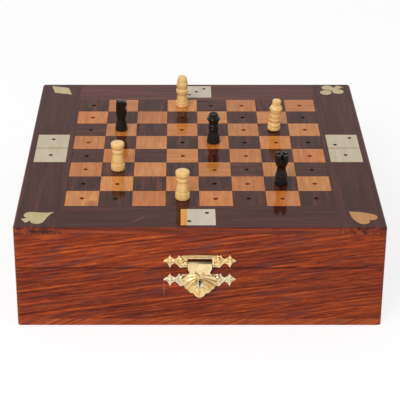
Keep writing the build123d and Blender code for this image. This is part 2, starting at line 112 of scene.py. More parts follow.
def shrunk(outline, amount):
    """A clockwise outline moved inwards by an amount."""
    count = len(outline)
    moved = []
    for k, point in enumerate(outline):
        along = (outline[(k + 1) % count] - outline[k - 1]).normalized()
        moved.append(point + amount * Vector((along.y, -along.x)))
    return moved


def rings_to_faces(bm, rings, loop=False):
    """Joins rings of points, each with as many points as the next, or one where they meet."""
    last = len(rings) if loop else len(rings) - 1
    for step in range(last):
        low, high = rings[step], rings[(step + 1) % len(rings)]
        for k in range(max(len(low), len(high))):
            after = (k + 1) % max(len(low), len(high))
            corners = [low[k % len(low)], low[after % len(low)],
                       high[after % len(high)], high[k % len(high)]]
            bm.faces.new(list(dict.fromkeys(corners)))


def turn(bm, line, place=Matrix(), facets=48):
    """A turned shape; the line is (radius, height), and radius 0 closes an end."""
    rings = []
    for radius, height in line:
        angles = [2 * math.pi * k / facets for k in range(facets if radius > 1e-6 else 1)]
        rings.append([
            bm.verts.new(place @ Vector((radius * math.cos(a), radius * math.sin(a), height)))
            for a in angles])
    rings_to_faces(bm, rings)


def slab(bm, outline, low, high, edge, place=Matrix()):
    """A flat piece with that clockwise outline, between two heights, with its top edge eased."""
    levels = [(0, low), (0, high - edge), (0.3 * edge, high - 0.3 * edge), (edge, high)]
    rings = []
    for inset, height in levels:
        ring = [bm.verts.new(place @ point.to_3d() + place.to_3x3() @ Vector((0, 0, height)))
                for point in shrunk(outline, inset)]
        rings.append(ring)
    rings_to_faces(bm, rings)
    bm.faces.new(rings[0])
    bm.faces.new(rings[-1])


def box_outline(width, depth):
    """A clockwise rectangle about the origin."""
    return [Vector((x * width / 2, y * depth / 2)) for x, y in ((-1, 1), (1, 1), (1, -1), (-1, -1))]


def block(bm, low, high):
    """A plain rectangular tool for cutting with."""
    middle = (Vector(low) + Vector(high)) / 2
    size = Vector(high) - Vector(low)
    bmesh.ops.create_cube(bm, size=1, matrix=Matrix.Translation(middle) @ Matrix.Diagonal(size).to_4x4())


def as_mesh(bm, name):
    """Ends a bmesh with its faces pointing outwards."""
    bmesh.ops.recalc_face_normals(bm, faces=bm.faces)
    mesh = bpy.data.meshes.new(name)
    bm.to_mesh(mesh)
    bm.free()
    return mesh


# After a cut, corners that are closer than this, in millimetres, are made one
merge_distance = 0.004


def cleaned(mesh):
    """The same mesh without the slivers and doubled faces that a cut can leave."""
    bm = bmesh.new()
    bm.from_mesh(mesh)
    bmesh.ops.remove_doubles(bm, verts=bm.verts, dist=merge_distance)
    bmesh.ops.dissolve_degenerate(bm, dist=merge_distance, edges=bm.edges)
    bmesh.ops.triangulate(bm, faces=[face for face in bm.faces if len(face.verts) > 3])
    alike = {}
    for face in bm.faces:
        alike.setdefault(frozenset(face.verts), []).append(face)
    doubled = [face for faces in alike.values() if len(faces) > 1 for face in faces]
    bmesh.ops.delete(bm, geom=doubled, context="FACES")
    bm.to_mesh(mesh)
    bm.free()
    return mesh


def combined(shape, tool, operation, tool_finish=None):
    """One closed mesh cut by, kept inside or joined to another; the tool colours what it cuts."""
    objects = []
    for mesh in (shape, tool):
        thing = bpy.data.objects.new("shaping", mesh)
        bpy.context.scene.collection.objects.link(thing)
        objects.append(thing)
    if tool_finish:
        tool.materials.append(tool_finish)
    step = objects[0].modifiers.new("shaping", "BOOLEAN")
    step.operation = operation
    step.object = objects[1]
    step.solver = "EXACT"
    step.material_mode = "TRANSFER"
    bpy.context.view_layer.update()
    evaluated = objects[0].evaluated_get(bpy.context.evaluated_depsgraph_get())
    made = bpy.data.meshes.new_from_object(evaluated)
    for thing in objects:
        bpy.data.objects.remove(thing)
    return cleaned(made)


def make_piece(name, shape, body, finish, stands_for, crease=35):
    """Turns a shape in millimetres into a piece that rides on a body and stands for CAD nodes.
    Its edges look sharp where its faces meet at more than the crease, in degrees."""
    mesh = shape if isinstance(shape, bpy.types.Mesh) else as_mesh(shape, name)
    mesh.name = name
    mesh.transform(Matrix.Scale(MM, 4))
    for face in mesh.polygons:
        face.use_smooth = True
    mesh.set_sharp_from_angle(angle=math.radians(crease))
    if not mesh.materials:
        mesh.materials.append(finish)
    else:
        mesh.materials[0] = finish
    piece = bpy.data.objects.new(name, mesh)
    bpy.context.scene.collection.objects.link(piece)
    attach(piece, body)
    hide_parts(*stands_for)
    return piece


# Materials


def linear(hex_colour):
    """An sRGB hex colour as the linear colour that a shader takes."""
    values = [int(hex_colour[k:k + 2], 16) / 255 for k in (1, 3, 5)]
    return [v / 12.92 if v <= 0.04045 else ((v + 0.055) / 1.055) ** 2.4 for v in values] + [1.0]


def add_node(tree, kind, links=None, stops=(), **settings):
    """Adds a node with its settings, its inputs' values or links and, for a ramp, its colours."""
    made = tree.nodes.new("ShaderNode" + kind)
    for field, value in settings.items():
        setattr(made, field, value)
    for socket, value in (links or {}).items():
        if isinstance(value, bpy.types.NodeSocket):
            tree.links.new(value, made.inputs[socket])
        else:
            made.inputs[socket].default_value = value
    for k, (position, hex_colour) in enumerate(stops):
        points = made.color_ramp.elements
        point = points[k] if k < len(points) else points.new(position)
        point.position = position
        point.color = linear(hex_colour)
    return made


def started(name):
    """A new material, and its node tree with nothing in it."""
    made = bpy.data.materials.new(name)
    made.use_nodes = True
    made.node_tree.nodes.clear()
    return made, made.node_tree


def finished(tree, colour, relief=None, relief_mm=0.1, **values):
    """Ends a material: its colour, its relief in millimetres and the values on its shader."""
    links = {"Base Color": colour}
    links.update({name.replace("_", " "): value for name, value in values.items()})
    if relief is not None:
        bump = add_node(tree, "Bump", {"Height": relief, "Distance": relief_mm * MM, "Strength": 1.0})
        links["Normal"] = bump.outputs["Normal"]
    shader = add_node(tree, "BsdfPrincipled", links)
    add_node(tree, "OutputMaterial", {"Surface": shader.outputs["BSDF"]})


def figure(tree, size, turned=(0, 0, 0), start=None):
    """A place on the piece, turned and counted in steps of a figure's size in millimetres."""
    if start is None:
        start = add_node(tree, "TexCoord").outputs["Object"]
    return add_node(tree, "Mapping", {"Vector": start, "Rotation": [math.radians(a) for a in turned],
                                      "Scale": [length * MM for length in size]},
                    vector_type="TEXTURE").outputs["Vector"]


def cloudy(tree, place, detail=3.0, roughness=0.5, distortion=0.0):
    """Soft random shades at a place."""
    return add_node(tree, "TexNoise", {"Vector": place, "Scale": 1.0, "Detail": detail,
                                       "Roughness": roughness, "Distortion": distortion}).outputs["Fac"]


def between(tree, value, low, high, new_low=0.0, new_high=1.0):
    """A shade stretched from one range to another."""
    return add_node(tree, "MapRange", {"Value": value, "From Min": low, "From Max": high,
                                       "To Min": new_low, "To Max": new_high}).outputs["Result"]


def mark(tree, middle, size, turned=(0, 0, 0)):
    """1 at the middle of a mark on the piece, in millimetres, falling to 0 at its size."""
    place = add_node(tree, "Mapping", {"Vector": add_node(tree, "TexCoord").outputs["Object"],
                                       "Location": [at * MM for at in middle],
                                       "Rotation": [math.radians(a) for a in turned],
                                       "Scale": [length * MM for length in size]},
                     vector_type="TEXTURE")
    return add_node(tree, "TexGradient", {"Vector": place.outputs["Vector"]},
                    gradient_type="SPHERICAL").outputs["Fac"]


def mixed_value(tree, share, first, second):
    """A number between two others."""
    return add_node(tree, "Mix", {0: share, 2: first, 3: second}, data_type="FLOAT").outputs[0]


def mixed(tree, share, first, second, blend="MIX"):
    """Two colours mixed by a share."""
    return add_node(tree, "Mix", {0: share, 6: first, 7: second}, data_type="RGBA",
                    blend_type=blend).outputs[2]


# Half the width of the dark line along the seam, and where its shade ends, in millimetres
seam_line, seam_fade = 0.25, 0.42


def lacquered_sheesham(name, stops, rise=8, along_y=False, scratch_and_window_shade=False):
    """Sheesham boards under gloss lacquer: growth rings in dark and orange brown that rise to
    the right, greyer patches, short dark pores and a clear coat that barely shows head on.
    Below the seam the wood is painted a little darker, as painted shade for the light that
    falls off nearer the floor. The saw cut between the lid and the base is a dark line. The
    front can have a pale scratch, and a dark patch of painted shade where the clasp's window
    shades the wood."""
    made, tree = started(name)
    turned = (0, -rise, 90 if along_y else 0)
    soft = cloudy(tree, figure(tree, (60, 9, 1.9), turned), 3.0, 0.6, 0.3)
    rings = add_node(tree, "TexWave", {"Vector": figure(tree, (26, 12, 2.3), turned), "Scale": 0.314,
                                       "Distortion": 3.2, "Detail": 3.0, "Detail Scale": 1.6},
                     bands_direction="Z").outputs["Fac"]
    bands = mixed_value(tree, 0.3, between(tree, soft, 0.34, 0.66), rings)
    short = cloudy(tree, figure(tree, (9, 4, 0.8), turned), 3.0, 0.65, 0.4)
    bands = mixed_value(tree, 0.42, bands, between(tree, short, 0.34, 0.66))
    wood = add_node(tree, "ValToRGB", {"Fac": bands}, stops=stops)
    broad = cloudy(tree, figure(tree, (26, 20, 5), (turned[0], turned[1] - 8, turned[2])), 3.0)
    shade = mixed(tree, between(tree, broad, 0.52, 0.68, 0, 0.5), wood.outputs["Color"],
                  linear("#5a3a3a"))
    fibres = cloudy(tree, figure(tree, (24, 1.2, 0.6), turned), 2.0)
    shade = mixed(tree, between(tree, fibres, 0.45, 0.66, 0.0, 0.55), shade, linear("#561a0e"))
    height = add_node(tree, "SeparateXYZ", {0: add_node(tree, "TexCoord").outputs["Object"]}).outputs["Z"]
    # Painted shade: the wood below the seam is scaled a little darker, for the light that falls off nearer
    # the floor
    painted_low_shade = between(tree, height, (seam_height - 0.1) * MM, (seam_height + 0.1) * MM, 0.86, 0.96)
    shade = add_node(tree, "VectorMath", {0: shade, "Scale": painted_low_shade}, operation="SCALE").outputs[0]
    pores = between(tree, cloudy(tree, figure(tree, (5, 0.6, 0.4), turned), 1.0), 0.68, 0.76)
    shade = mixed(tree, between(tree, pores, 0, 1, 0, 0.75), shade, linear("#2c0f0a"))
    off_seam = add_node(tree, "Math", {0: height, 1: seam_height * MM}, operation="SUBTRACT")
    off_seam = add_node(tree, "Math", {0: off_seam.outputs[0]}, operation="ABSOLUTE").outputs[0]
    shade = mixed(tree, between(tree, off_seam, seam_fade * MM, seam_line * MM, 0, 0.75), shade,
                  linear("#2c0f0a"))
    if scratch_and_window_shade:
        scratch = mark(tree, (-19.7, front_y, 23.9), (0.35, 1, 7))
        shade = mixed(tree, between(tree, scratch, 0, 0.5, 0, 0.4), shade, linear("#b98a72"))
        # Painted shade: the wood behind the clasp's window is darkened where the window shades it
        behind_window = mark(tree, (0, front_y, 42.3), (9.5, 1, 2.2))
        shade = mixed(tree, between(tree, behind_window, 0, 0.3, 0, 0.8), shade, linear("#2e150b"))
    finished(tree, shade, fibres, 0.02, Roughness=0.5, Specular_IOR_Level=0.0, Coat_Weight=0.3,
             Coat_Roughness=0.1, Coat_IOR=1.5)
    return made


def lacquered_rosewood(name, stops, along_y=False, marked=False):
    """Near-black rosewood border strips with straight streaks, polished flat. Their upright
    edges are redder than the face. One strip has a pale streak, and the others a dark knot
    that only shows where they reach the front."""
    made, tree = started(name)
    turned = (0, 0, 90 if along_y else 0)
    streaks = cloudy(tree, figure(tree, (60, 2.6, 2.0), turned), 4.0, 0.6, 0.3)
    face = add_node(tree, "ValToRGB", {"Fac": between(tree, streaks, 0.3, 0.7)}, stops=stops)
    edge = add_node(tree, "ValToRGB", {"Fac": between(tree, streaks, 0.34, 0.66)},
                    stops=[(0.0, "#4a170c"), (0.5, "#7e3218"), (1.0, "#ac4a22")])
    upright = add_node(tree, "SeparateXYZ", {0: add_node(tree, "TexCoord").outputs["Normal"]})
    colour = mixed(tree, between(tree, upright.outputs["Z"], 0.5, 0.9),
                   edge.outputs["Color"], face.outputs["Color"])
    fibres = cloudy(tree, figure(tree, (9, 0.7, 0.5), turned), 2.0)
    colour = mixed(tree, between(tree, fibres, 0.5, 0.7, 0.0, 0.4), colour, linear("#24100d"))
    if marked:
        streak = mark(tree, (-33.4, -91.0, board_top), (7.5, 1.1, 1), (0, 0, 45))
        colour = mixed(tree, between(tree, streak, 0, 0.6, 0, 0.5), colour, linear("#8a4a40"))
    else:
        knot = mark(tree, (-86.0, front_y, 59.2), (9.5, 1.5, 1.6))
        colour = mixed(tree, between(tree, knot, 0, 0.5, 0, 0.7), colour, linear("#2a1413"))
    finished(tree, colour, fibres, 0.02, Roughness=0.5, Specular_IOR_Level=0.0, Coat_Weight=0.4,
             Coat_Roughness=0.09, Coat_IOR=1.5)
    return made


def inlaid_squares(name, stops, fibre_colour, red_tint, coat, knot=None):
    """Veneer-thin squares cut from many boards, so each has its own shade and its grain runs
    one way or the other; lacquered over."""
    made, tree = started(name)
    place = add_node(tree, "TexCoord").outputs["Object"]
    shifted = add_node(tree, "VectorMath", {0: place, 1: (8 * square_size * MM,) * 2 + (0,)})
    tile = add_node(tree, "VectorMath", {0: shifted.outputs[0], 1: (square_size * MM,) * 2 + (1,)},
                    operation="SNAP")
    own = add_node(tree, "TexWhiteNoise", {"Vector": tile.outputs[0]}, noise_dimensions="3D")
    own_colour = add_node(tree, "SeparateColor", {0: own.outputs["Color"]})
    apart = add_node(tree, "VectorMath", {0: own.outputs["Color"], 1: (0.7, 0.7, 0.7)},
                     operation="MULTIPLY")
    start = add_node(tree, "VectorMath", {0: place, 1: apart.outputs[0]}).outputs[0]
    across = cloudy(tree, figure(tree, (22, 2.4, 3.0), (0, 0, 0), start), 4.0, 0.55, 0.5)
    along = cloudy(tree, figure(tree, (22, 2.4, 3.0), (0, 0, 90), start), 4.0, 0.55, 0.5)
    side = between(tree, own_colour.outputs[0], 0.26, 0.34)
    grain = add_node(tree, "Mix", {0: side, 2: across, 3: along}).outputs[0]
    wood = add_node(tree, "ValToRGB", {"Fac": between(tree, grain, 0.32, 0.68)}, stops=stops)
    fine_across = cloudy(tree, figure(tree, (7, 0.5, 0.6), (0, 0, 0), start), 2.0)
    fine_along = cloudy(tree, figure(tree, (7, 0.5, 0.6), (0, 0, 90), start), 2.0)
    fibres = add_node(tree, "Mix", {0: side, 2: fine_across, 3: fine_along}).outputs[0]
    shade = mixed(tree, between(tree, fibres, 0.45, 0.7, 0.0, 0.3), wood.outputs["Color"],
                  linear(fibre_colour))
    lightness = between(tree, own_colour.outputs[1], 0, 1, 0.9, 1.1)
    shade = add_node(tree, "VectorMath", {0: shade, "Scale": lightness}, operation="SCALE").outputs[0]
    redness = between(tree, own_colour.outputs[2], 0.3, 1, 0, 0.5)
    shade = mixed(tree, redness, shade, linear(red_tint), "MULTIPLY")
    if knot:
        spot = mark(tree, (*knot, board_top), (4.2, 5.5, 3))
        shade = mixed(tree, between(tree, spot, 0, 0.6, 0, 0.55), shade, linear("#8c3a1c"))
    finished(tree, shade, fibres, 0.02, Roughness=0.5, Specular_IOR_Level=0.0, Coat_Weight=coat,
             Coat_Roughness=0.09, Coat_IOR=1.5)
    return made


def planed_wood(name, stops):
    """Bare wood, unpolished, with open straight grain, pale where it was planed. Given dark
    colours, down to almost black, it is painted shade on the rims and sides of the peg holes."""
    made, tree = started(name)
    grain = cloudy(tree, figure(tree, (40, 3, 3), (0, 0, 90)), 4.0, 0.55, 0.4)
    wood = add_node(tree, "ValToRGB", {"Fac": between(tree, grain, 0.3, 0.7)}, stops=stops)
    finished(tree, wood.outputs["Color"], grain, 0.05, Roughness=0.65, Specular_IOR_Level=0.3)
    return made


def turned_boxwood():
    """Boxwood turned on a lathe, sealed and burnished: even honey colour, faint rings of tool
    marks and a low sheen."""
    made, tree = started("turned_boxwood")
    grain = cloudy(tree, figure(tree, (1.6, 1.6, 14)), 3.0)
    wood = add_node(tree, "ValToRGB", {"Fac": between(tree, grain, 0.3, 0.7)},
                    stops=[(0.0, "#f6bb6c"), (1.0, "#ffdb94")])
    marks = cloudy(tree, figure(tree, (60, 60, 0.7)), 2.0)
    finished(tree, wood.outputs["Color"], marks, 0.03, Roughness=0.4, Coat_Weight=0.35,
             Coat_Roughness=0.2, Coat_IOR=1.5)
    return made


def ebonised_wood(name, coat=0.5):
    """The same wood stained black and burnished: brown where the stain is thin, with soft
    grey highlights down each side. Where it is sawn it has no polish."""
    made, tree = started(name)
    grain = cloudy(tree, figure(tree, (1.4, 1.4, 10)), 3.0)
    wood = add_node(tree, "ValToRGB", {"Fac": between(tree, grain, 0.3, 0.75)},
                    stops=[(0.0, "#131312"), (0.7, "#1f1c1b"), (1.0, "#30261f")])
    marks = cloudy(tree, figure(tree, (60, 60, 0.7)), 2.0)
    finished(tree, wood.outputs["Color"], marks, 0.03, Roughness=0.5, Specular_IOR_Level=0.2 * coat,
             Coat_Weight=coat, Coat_Roughness=0.2, Coat_IOR=1.5)
    return made


def polished_bone(name, stops):
    """Bone plates sanded flush with the board: off-white with faint streaks along the plate
    and the board's own lacquer over them."""
    made, tree = started(name)
    streaks = cloudy(tree, figure(tree, (3, 18, 3)), 3.0)
    bone = add_node(tree, "ValToRGB", {"Fac": between(tree, streaks, 0.2, 0.8)}, stops=stops)
    finished(tree, bone.outputs["Color"], streaks, 0.01, Roughness=0.4, Specular_IOR_Level=0.1,
             Coat_Weight=0.5, Coat_Roughness=0.1, Coat_IOR=1.5)
    return made


def black_filling():
    """Black wax in the pips and the grooves of the plates, slightly uneven and dull."""
    made, tree = started("black_wax_filling")
    uneven = cloudy(tree, figure(tree, (0.6, 0.6, 0.6)), 2.0)
    wax = add_node(tree, "ValToRGB", {"Fac": uneven}, stops=[(0.3, "#100e0d"), (0.8, "#26211e")])
    finished(tree, wax.outputs["Color"], uneven, 0.05, Roughness=0.5)
    return made


# How far in and out the brass is bent where the painted shade in its hollows and the painted
# highlight on its crests begin, and where they are full, as Geometry's Pointiness gives it: 0.5 is flat
hollows = (0.498, 0.46)
crests = (0.51, 0.57)


def stamped_brass(name, stops, rough=0.33):
    """Thin brass sheet pressed in a die and lacquered: warm pale gold and small dents left by
    the die. Its hollows are painted brown as painted shade, and its crests near white as painted
    highlights."""
    made, tree = started(name)
    tarnish = cloudy(tree, figure(tree, (3.2, 3.2, 3.2)), 3.0)
    metal = add_node(tree, "ValToRGB", {"Fac": between(tree, tarnish, 0.3, 0.7)}, stops=stops)
    bend = add_node(tree, "NewGeometry").outputs["Pointiness"]
    # Painted shade: the hollows of the pressing are darkened brown
    colour = mixed(tree, between(tree, bend, *hollows, 0, 0.75), metal.outputs["Color"],
                   linear("#8a5a26"))
    # Painted highlight: the crests are lightened towards white
    colour = mixed(tree, between(tree, bend, *crests, 0, 0.3), colour, linear("#fff0cc"))
    dents = cloudy(tree, figure(tree, (1.1, 1.1, 1.1)), 2.0)
    worn = between(tree, tarnish, 0.3, 0.7, rough + 0.08, rough - 0.06)
    finished(tree, colour, dents, 0.05, Metallic=1.0, Roughness=worn)
    return made


def pressed_felt():
    """Green baize on the floor: matt, with short matted fibres that are drawn 0.8 mm apart,
    coarser than the real ones, so that they show."""
    made, tree = started("pressed_wool_felt")
    fibres = cloudy(tree, figure(tree, (0.8, 0.8, 0.8)), 4.0, 0.7)
    wool = add_node(tree, "ValToRGB", {"Fac": between(tree, fibres, 0.3, 0.7)},
                    stops=[(0.0, "#1d4a32"), (1.0, "#37704f")])
    finished(tree, wool.outputs["Color"], fibres, 0.25, Roughness=0.95, Specular_IOR_Level=0.1,
             Sheen_Weight=0.4, Sheen_Roughness=0.5)
    return made


wall_stops = [(0.0, "#4e160a"), (0.3, "#7a2c12"), (0.6, "#a8421a"), (1.0, "#dc6828")]
walls_along_x = lacquered_sheesham("lacquered_sheesham", wall_stops, scratch_and_window_shade=True)
walls_along_y = lacquered_sheesham("lacquered_sheesham_sides", wall_stops, along_y=True)
bottom_board = lacquered_sheesham("lacquered_sheesham_bottom", [
    (0.0, "#94391a"), (0.35, "#b24c24"), (0.7, "#c45c2e"), (1.0, "#da743a")], rise=24)
rosewood_stops = [(0.0, "#38180f"), (0.5, "#4c2118"), (1.0, "#602e22")]
front_strip = lacquered_rosewood("lacquered_rosewood", rosewood_stops, marked=True)
side_strips = lacquered_rosewood("lacquered_rosewood_sides", rosewood_stops, along_y=True)
back_strip = lacquered_rosewood("lacquered_red_rosewood",
                                [(0.0, "#4c2418"), (0.5, "#643228"), (1.0, "#7a4236")])
# Painted shade: darker wood for the rims and sides of the peg holes in the dark and the light squares
dark_hole_shade_wood = planed_wood("painted_shade_dark_hole", [(0.0, "#170c08"), (1.0, "#3a2013")])
light_hole_shade_wood = planed_wood("painted_shade_light_hole", [(0.0, "#6a3012"), (1.0, "#a25a26")])
light_tiles = inlaid_squares("lacquered_light_sheesham",
                             [(0.0, "#c47937"), (0.4, "#d0833d"), (0.75, "#da8e46"), (1.0, "#e29952")],
                             "#a2591f", "#f2c49c", 0.6, knot=(-60, -73))
dark_tiles = inlaid_squares("lacquered_dark_sheesham",
                            [(0.0, "#35180f"), (0.4, "#4c2419"), (0.75, "#5c2e20"), (1.0, "#6e3a26")],
                            "#24100c", "#f0c8b8", 0.4)
inside_wood = planed_wood("planed_mango_wood", [(0.0, "#a97a4c"), (1.0, "#cfa26d")])
boxwood = turned_boxwood()
ebonised = ebonised_wood("ebonised_boxwood")
sawn_ebonised = ebonised_wood("sawn_ebonised_boxwood", 0.0)
bone = polished_bone("polished_bone", [(0.0, "#c4b190"), (1.0, "#d6c8aa")])
pale_bone = polished_bone("polished_pale_bone", [(0.0, "#cbbda6"), (1.0, "#ded2be")])
yellow_bone = polished_bone("polished_yellow_bone", [(0.0, "#bda66e"), (1.0, "#d8c692")])
tan_bone = polished_bone("polished_tan_wood", [(0.0, "#b87a36"), (1.0, "#cf9048")])
amber_bone = polished_bone("polished_amber_bone", [(0.0, "#e6983c"), (1.0, "#f4ac58")])
filling = black_filling()
brass = stamped_brass("stamped_brass", [(0.0, "#e2b876"), (1.0, "#ffe2a6")])
pale_brass = stamped_brass("stamped_pale_brass", [(0.0, "#dac094"), (1.0, "#f8eacb")])
# Dark brass that is painted shade, on the curl of the hasp and inside the knob's slit
painted_shade_brass = stamped_brass("painted_shade_brass", [(0.0, "#34220e"), (1.0, "#644420")], 0.4)
knob_metal = stamped_brass("turned_brass_knob", [(0.0, "#cfc0a0"), (1.0, "#f0e8d4")], 0.2)
felt_cloth = pressed_felt()


# The CAD's own pieces that are shown


def refinished(node, finish, eased_edge=0.0):
    """Gives a CAD node its material, and eases its edges by a few tenths where that shows."""
    piece = nodes[node]
    piece.data.materials.clear()
    piece.data.materials.append(finish)
    if eased_edge:
        bevel = piece.modifiers.new("eased_edges", "BEVEL")
        bevel.width = eased_edge * MM
        bevel.segments = 2
        bevel.limit_method = "ANGLE"
        bevel.harden_normals = False


wall_edge = 0.2
bottom_edge = 0.3
for half in ("base", "lid"):
    for side in ("front", "back", "left", "right"):
        finish = walls_along_y if side in ("left", "right") else walls_along_x
        refinished(f"{half}_{side}_wall", finish, wall_edge)
refinished("bottom_panel", bottom_board, bottom_edge)
refinished("border_left", side_strips)
refinished("border_right", side_strips)
refinished("border_front", front_strip)
refinished("border_back", back_strip)
for node in ("lid_panel", "left_divider", "right_divider"):
    refinished(node, inside_wood)

# The board's 64 squares, with a peg hole in each but those of the third file
undrilled_column = 2
hole_radius = 1.2
hole_rim = 0.15
hole_points = 24
tile_edge = 0.12
# How far the drill strays to the right and to the back, or with a minus to the left and to the
# front. It is true on the squares in the list.
stray_right = (-0.5, 0.5)
stray_back = (-0.8, -0.2)
last_column_stray = 0.8
true_squares = {(3, 7), (1, 5), (6, 5), (4, 4), (1, 2), (6, 1), (3, 0),
                (0, 0), (7, 0), (0, 7), (7, 7)}
drill_wander = random.Random(64)


def square_middle(column, row):
    """The middle of a square, counted from the front left corner of the board."""
    return Vector(((column - 3.5) * square_size, (row - 3.5) * square_size, 0))


def tile(bm, middle, hole):
    """One square with a round hole through it, drilled a little off its middle, or with none."""
    half = (square_size - glue_line) / 2
    corners = [(-half, -half), (half, -half), (half, half), (-half, half)]
    per_side = hole_points // 4
    rim = []
    for side in range(4):
        start, end = Vector(corners[side]), Vector(corners[(side + 1) % 4])
        rim += [start.lerp(end, k / per_side) for k in range(per_side)]

    def ring(points, height):
        return [bm.verts.new((middle.x + p.x, middle.y + p.y, height)) for p in points]

    def drilled(radius):
        return [hole + Vector((radius * math.cos(a), radius * math.sin(a)))
                for a in (math.radians(225 + 360 * k / hole_points) for k in range(hole_points))]

    eased = [p * (1 - tile_edge / half) for p in rim]
    if hole is None:
        rings = [ring(rim, board_underside), ring(rim, board_top - tile_edge), ring(eased, board_top)]
        rings_to_faces(bm, rings)
        bm.faces.new(rings[0])
        bm.faces.new(rings[-1])
        return
    rings_to_faces(bm, [
        ring(rim, board_underside), ring(rim, board_top - tile_edge), ring(eased, board_top),
        ring(drilled(hole_radius + hole_rim), board_top),
        ring(drilled(hole_radius), board_top - hole_rim), ring(drilled(hole_radius), board_underside),
    ], loop=True)
    bm.faces.ensure_lookup_table()
    # The last three rings of faces are the hole's rim, its side and the square's underside. The
    # first two of them take a darker wood, painted shade for the depth of the hole.
    for face in bm.faces[-3 * hole_points:-hole_points]:
        face.material_index = 1


for name, light, finish, slot in (("light_squares", True, light_tiles, "light_wood"),
                                  ("dark_squares", False, dark_tiles, "dark_wood")):
    bm = bmesh.new()
    for column in range(8):
        for row in range(8):
            if ((column + row) % 2 == 0) != light:
                continue
            wander = Vector((drill_wander.uniform(*stray_right), drill_wander.uniform(*stray_back)))
            if column == 7:
                wander.x += last_column_stray
            if (column, row) in true_squares:
                wander = Vector((0, 0))
            middle = square_middle(column, row)
            tile(bm, middle, None if column == undrilled_column else wander)
    shape = as_mesh(bm, name)
    shape.materials.append(finish)
    shape.materials.append(light_hole_shade_wood if light else dark_hole_shade_wood)
    make_piece(f"{name}_tiles", shape, "lid", finish, [name])

# Suits let into the corners of the border. They stand proud by the thickness of the lacquer.
inlay_depth = 1.5
inlay_edge = 0.06
lacquer = 0.03
fit = 0.08


def spade():
    right = flowing([(0, 9.9), (0, 9.9), (1.15, 6.7), (3.15, 3.7), (6.2, 0.1)])
    right += arc((3.9, -3.0), 3.65 + fit, 35, -128)
    return both_sides(right + [Vector((2.75, -9.65)), Vector((0, -9.65))])


def heart():
    right = flowing([(0, 8.4), (0, 8.4), (2.7, 5.1), (5.15, 1.4), (6.6, -2.4)])
    right += arc((3.3, -4.4), 3.5 + fit, 15, -158)
    return both_sides(right)


def club():
    right = arc((0, 5.3), 3.7 + fit, 90, -80) + arc((4.6, -1.6), 3.7 + fit, 170, -144)
    return both_sides(right + [Vector((2.45, -9.25)), Vector((0, -9.25))])


def diamond():
    return both_sides([Vector(p) for p in ((0, 10.0), (5.88, 0), (0, -10.0))])


suits = {"spade": (spade, -57.5, yellow_bone), "heart": (heart, 45, tan_bone),
         "club": (club, 135, yellow_bone), "diamond": (diamond, 44, yellow_bone)}
suit_places = {"spade": (-88.5, -88.0), "heart": (88.5, -88.0), "club": (88.5, 91.3),
               "diamond": (-88.5, 91.3)}
for name, (outline, turned_by, finish) in suits.items():
    x, y = suit_places[name]
    place = Matrix.Translation((x, y, 0)) @ Matrix.Rotation(math.radians(turned_by), 4, "Z")
    bm = bmesh.new()
    slab(bm, outline(), board_top - inlay_depth, board_top + lacquer, inlay_edge, place)
    make_piece(f"{name}_bone_inlay", bm, "lid", finish, [f"{name}_inlay"], crease=15)


def split_at(shape, x):
    """The same mesh with its faces divided along a plane across X."""
    bm = bmesh.new()
    bm.from_mesh(shape)
    bmesh.ops.bisect_plane(bm, geom=bm.verts[:] + bm.edges[:] + bm.faces[:],
                           plane_co=(x, 0, 0), plane_no=(1, 0, 0))
    bm.to_mesh(shape)
    bm.free()
    return shape


# Domino and dice plates, with pips ground in by a ball cutter and filled with wax. The front
# die's left edge is a strip of amber-coloured bone.
pip_spread = 4.9
cutter_radius = 1.5
cutter_lift = 0.9
groove_width = 0.5
groove_depth = 0.4
plate_width = 19.2
plate_easing = 0.12
domino_length = 39.0
one, two, three = [(0, 0)], [(-1, -1), (1, 1)], [(-1, -1), (0, 0), (1, 1)]
pip_stray = 3.0
half_domino = domino_length / 4
plates = {"domino_left": {-half_domino: one, half_domino + pip_stray: one},
          "domino_right": {-half_domino: one, half_domino: two},
          "die_front": {0: two}, "die_back": {0: three}}
amber_width = 3.4
for name, halves in plates.items():
    middle = middle_of(name)
    length = domino_length if len(halves) > 1 else plate_width
    bm = bmesh.new()
    slab(bm, box_outline(plate_width - glue_line, length - glue_line), board_top - inlay_depth,
         board_top + lacquer, plate_easing, Matrix.Translation((middle.x, middle.y, 0)))
    tool = bmesh.new()
    for end, pips in halves.items():
        for step_x, step_y in pips:
            pip = Vector((middle.x + pip_spread * step_x,
                          middle.y + end + pip_spread * step_y, board_top + cutter_lift))
            bmesh.ops.create_uvsphere(tool, u_segments=24, v_segments=16, radius=cutter_radius,
                                      matrix=Matrix.Translation(pip))
    if len(halves) > 1:
        block(tool, (middle.x - plate_width, middle.y - groove_width / 2, board_top - groove_depth),
              (middle.x + plate_width, middle.y + groove_width / 2, board_top + 1))
    shape = as_mesh(bm, name)
    shape.materials.append(bone)
    shape = combined(shape, as_mesh(tool, "ball_cutter"), "DIFFERENCE", filling)
    if name == "die_front":
        amber_edge = middle.x - plate_width / 2 + amber_width
        shape.materials.append(amber_bone)
        amber = len(shape.materials) - 1
        shape = split_at(shape, amber_edge)
        for face in shape.polygons:
            if face.center.x < amber_edge and face.material_index == 0:
                face.material_index = amber
    finish = pale_bone if name.startswith("die") else bone
    make_piece(f"{name}_plate", shape, "lid", finish, [name], crease=15)

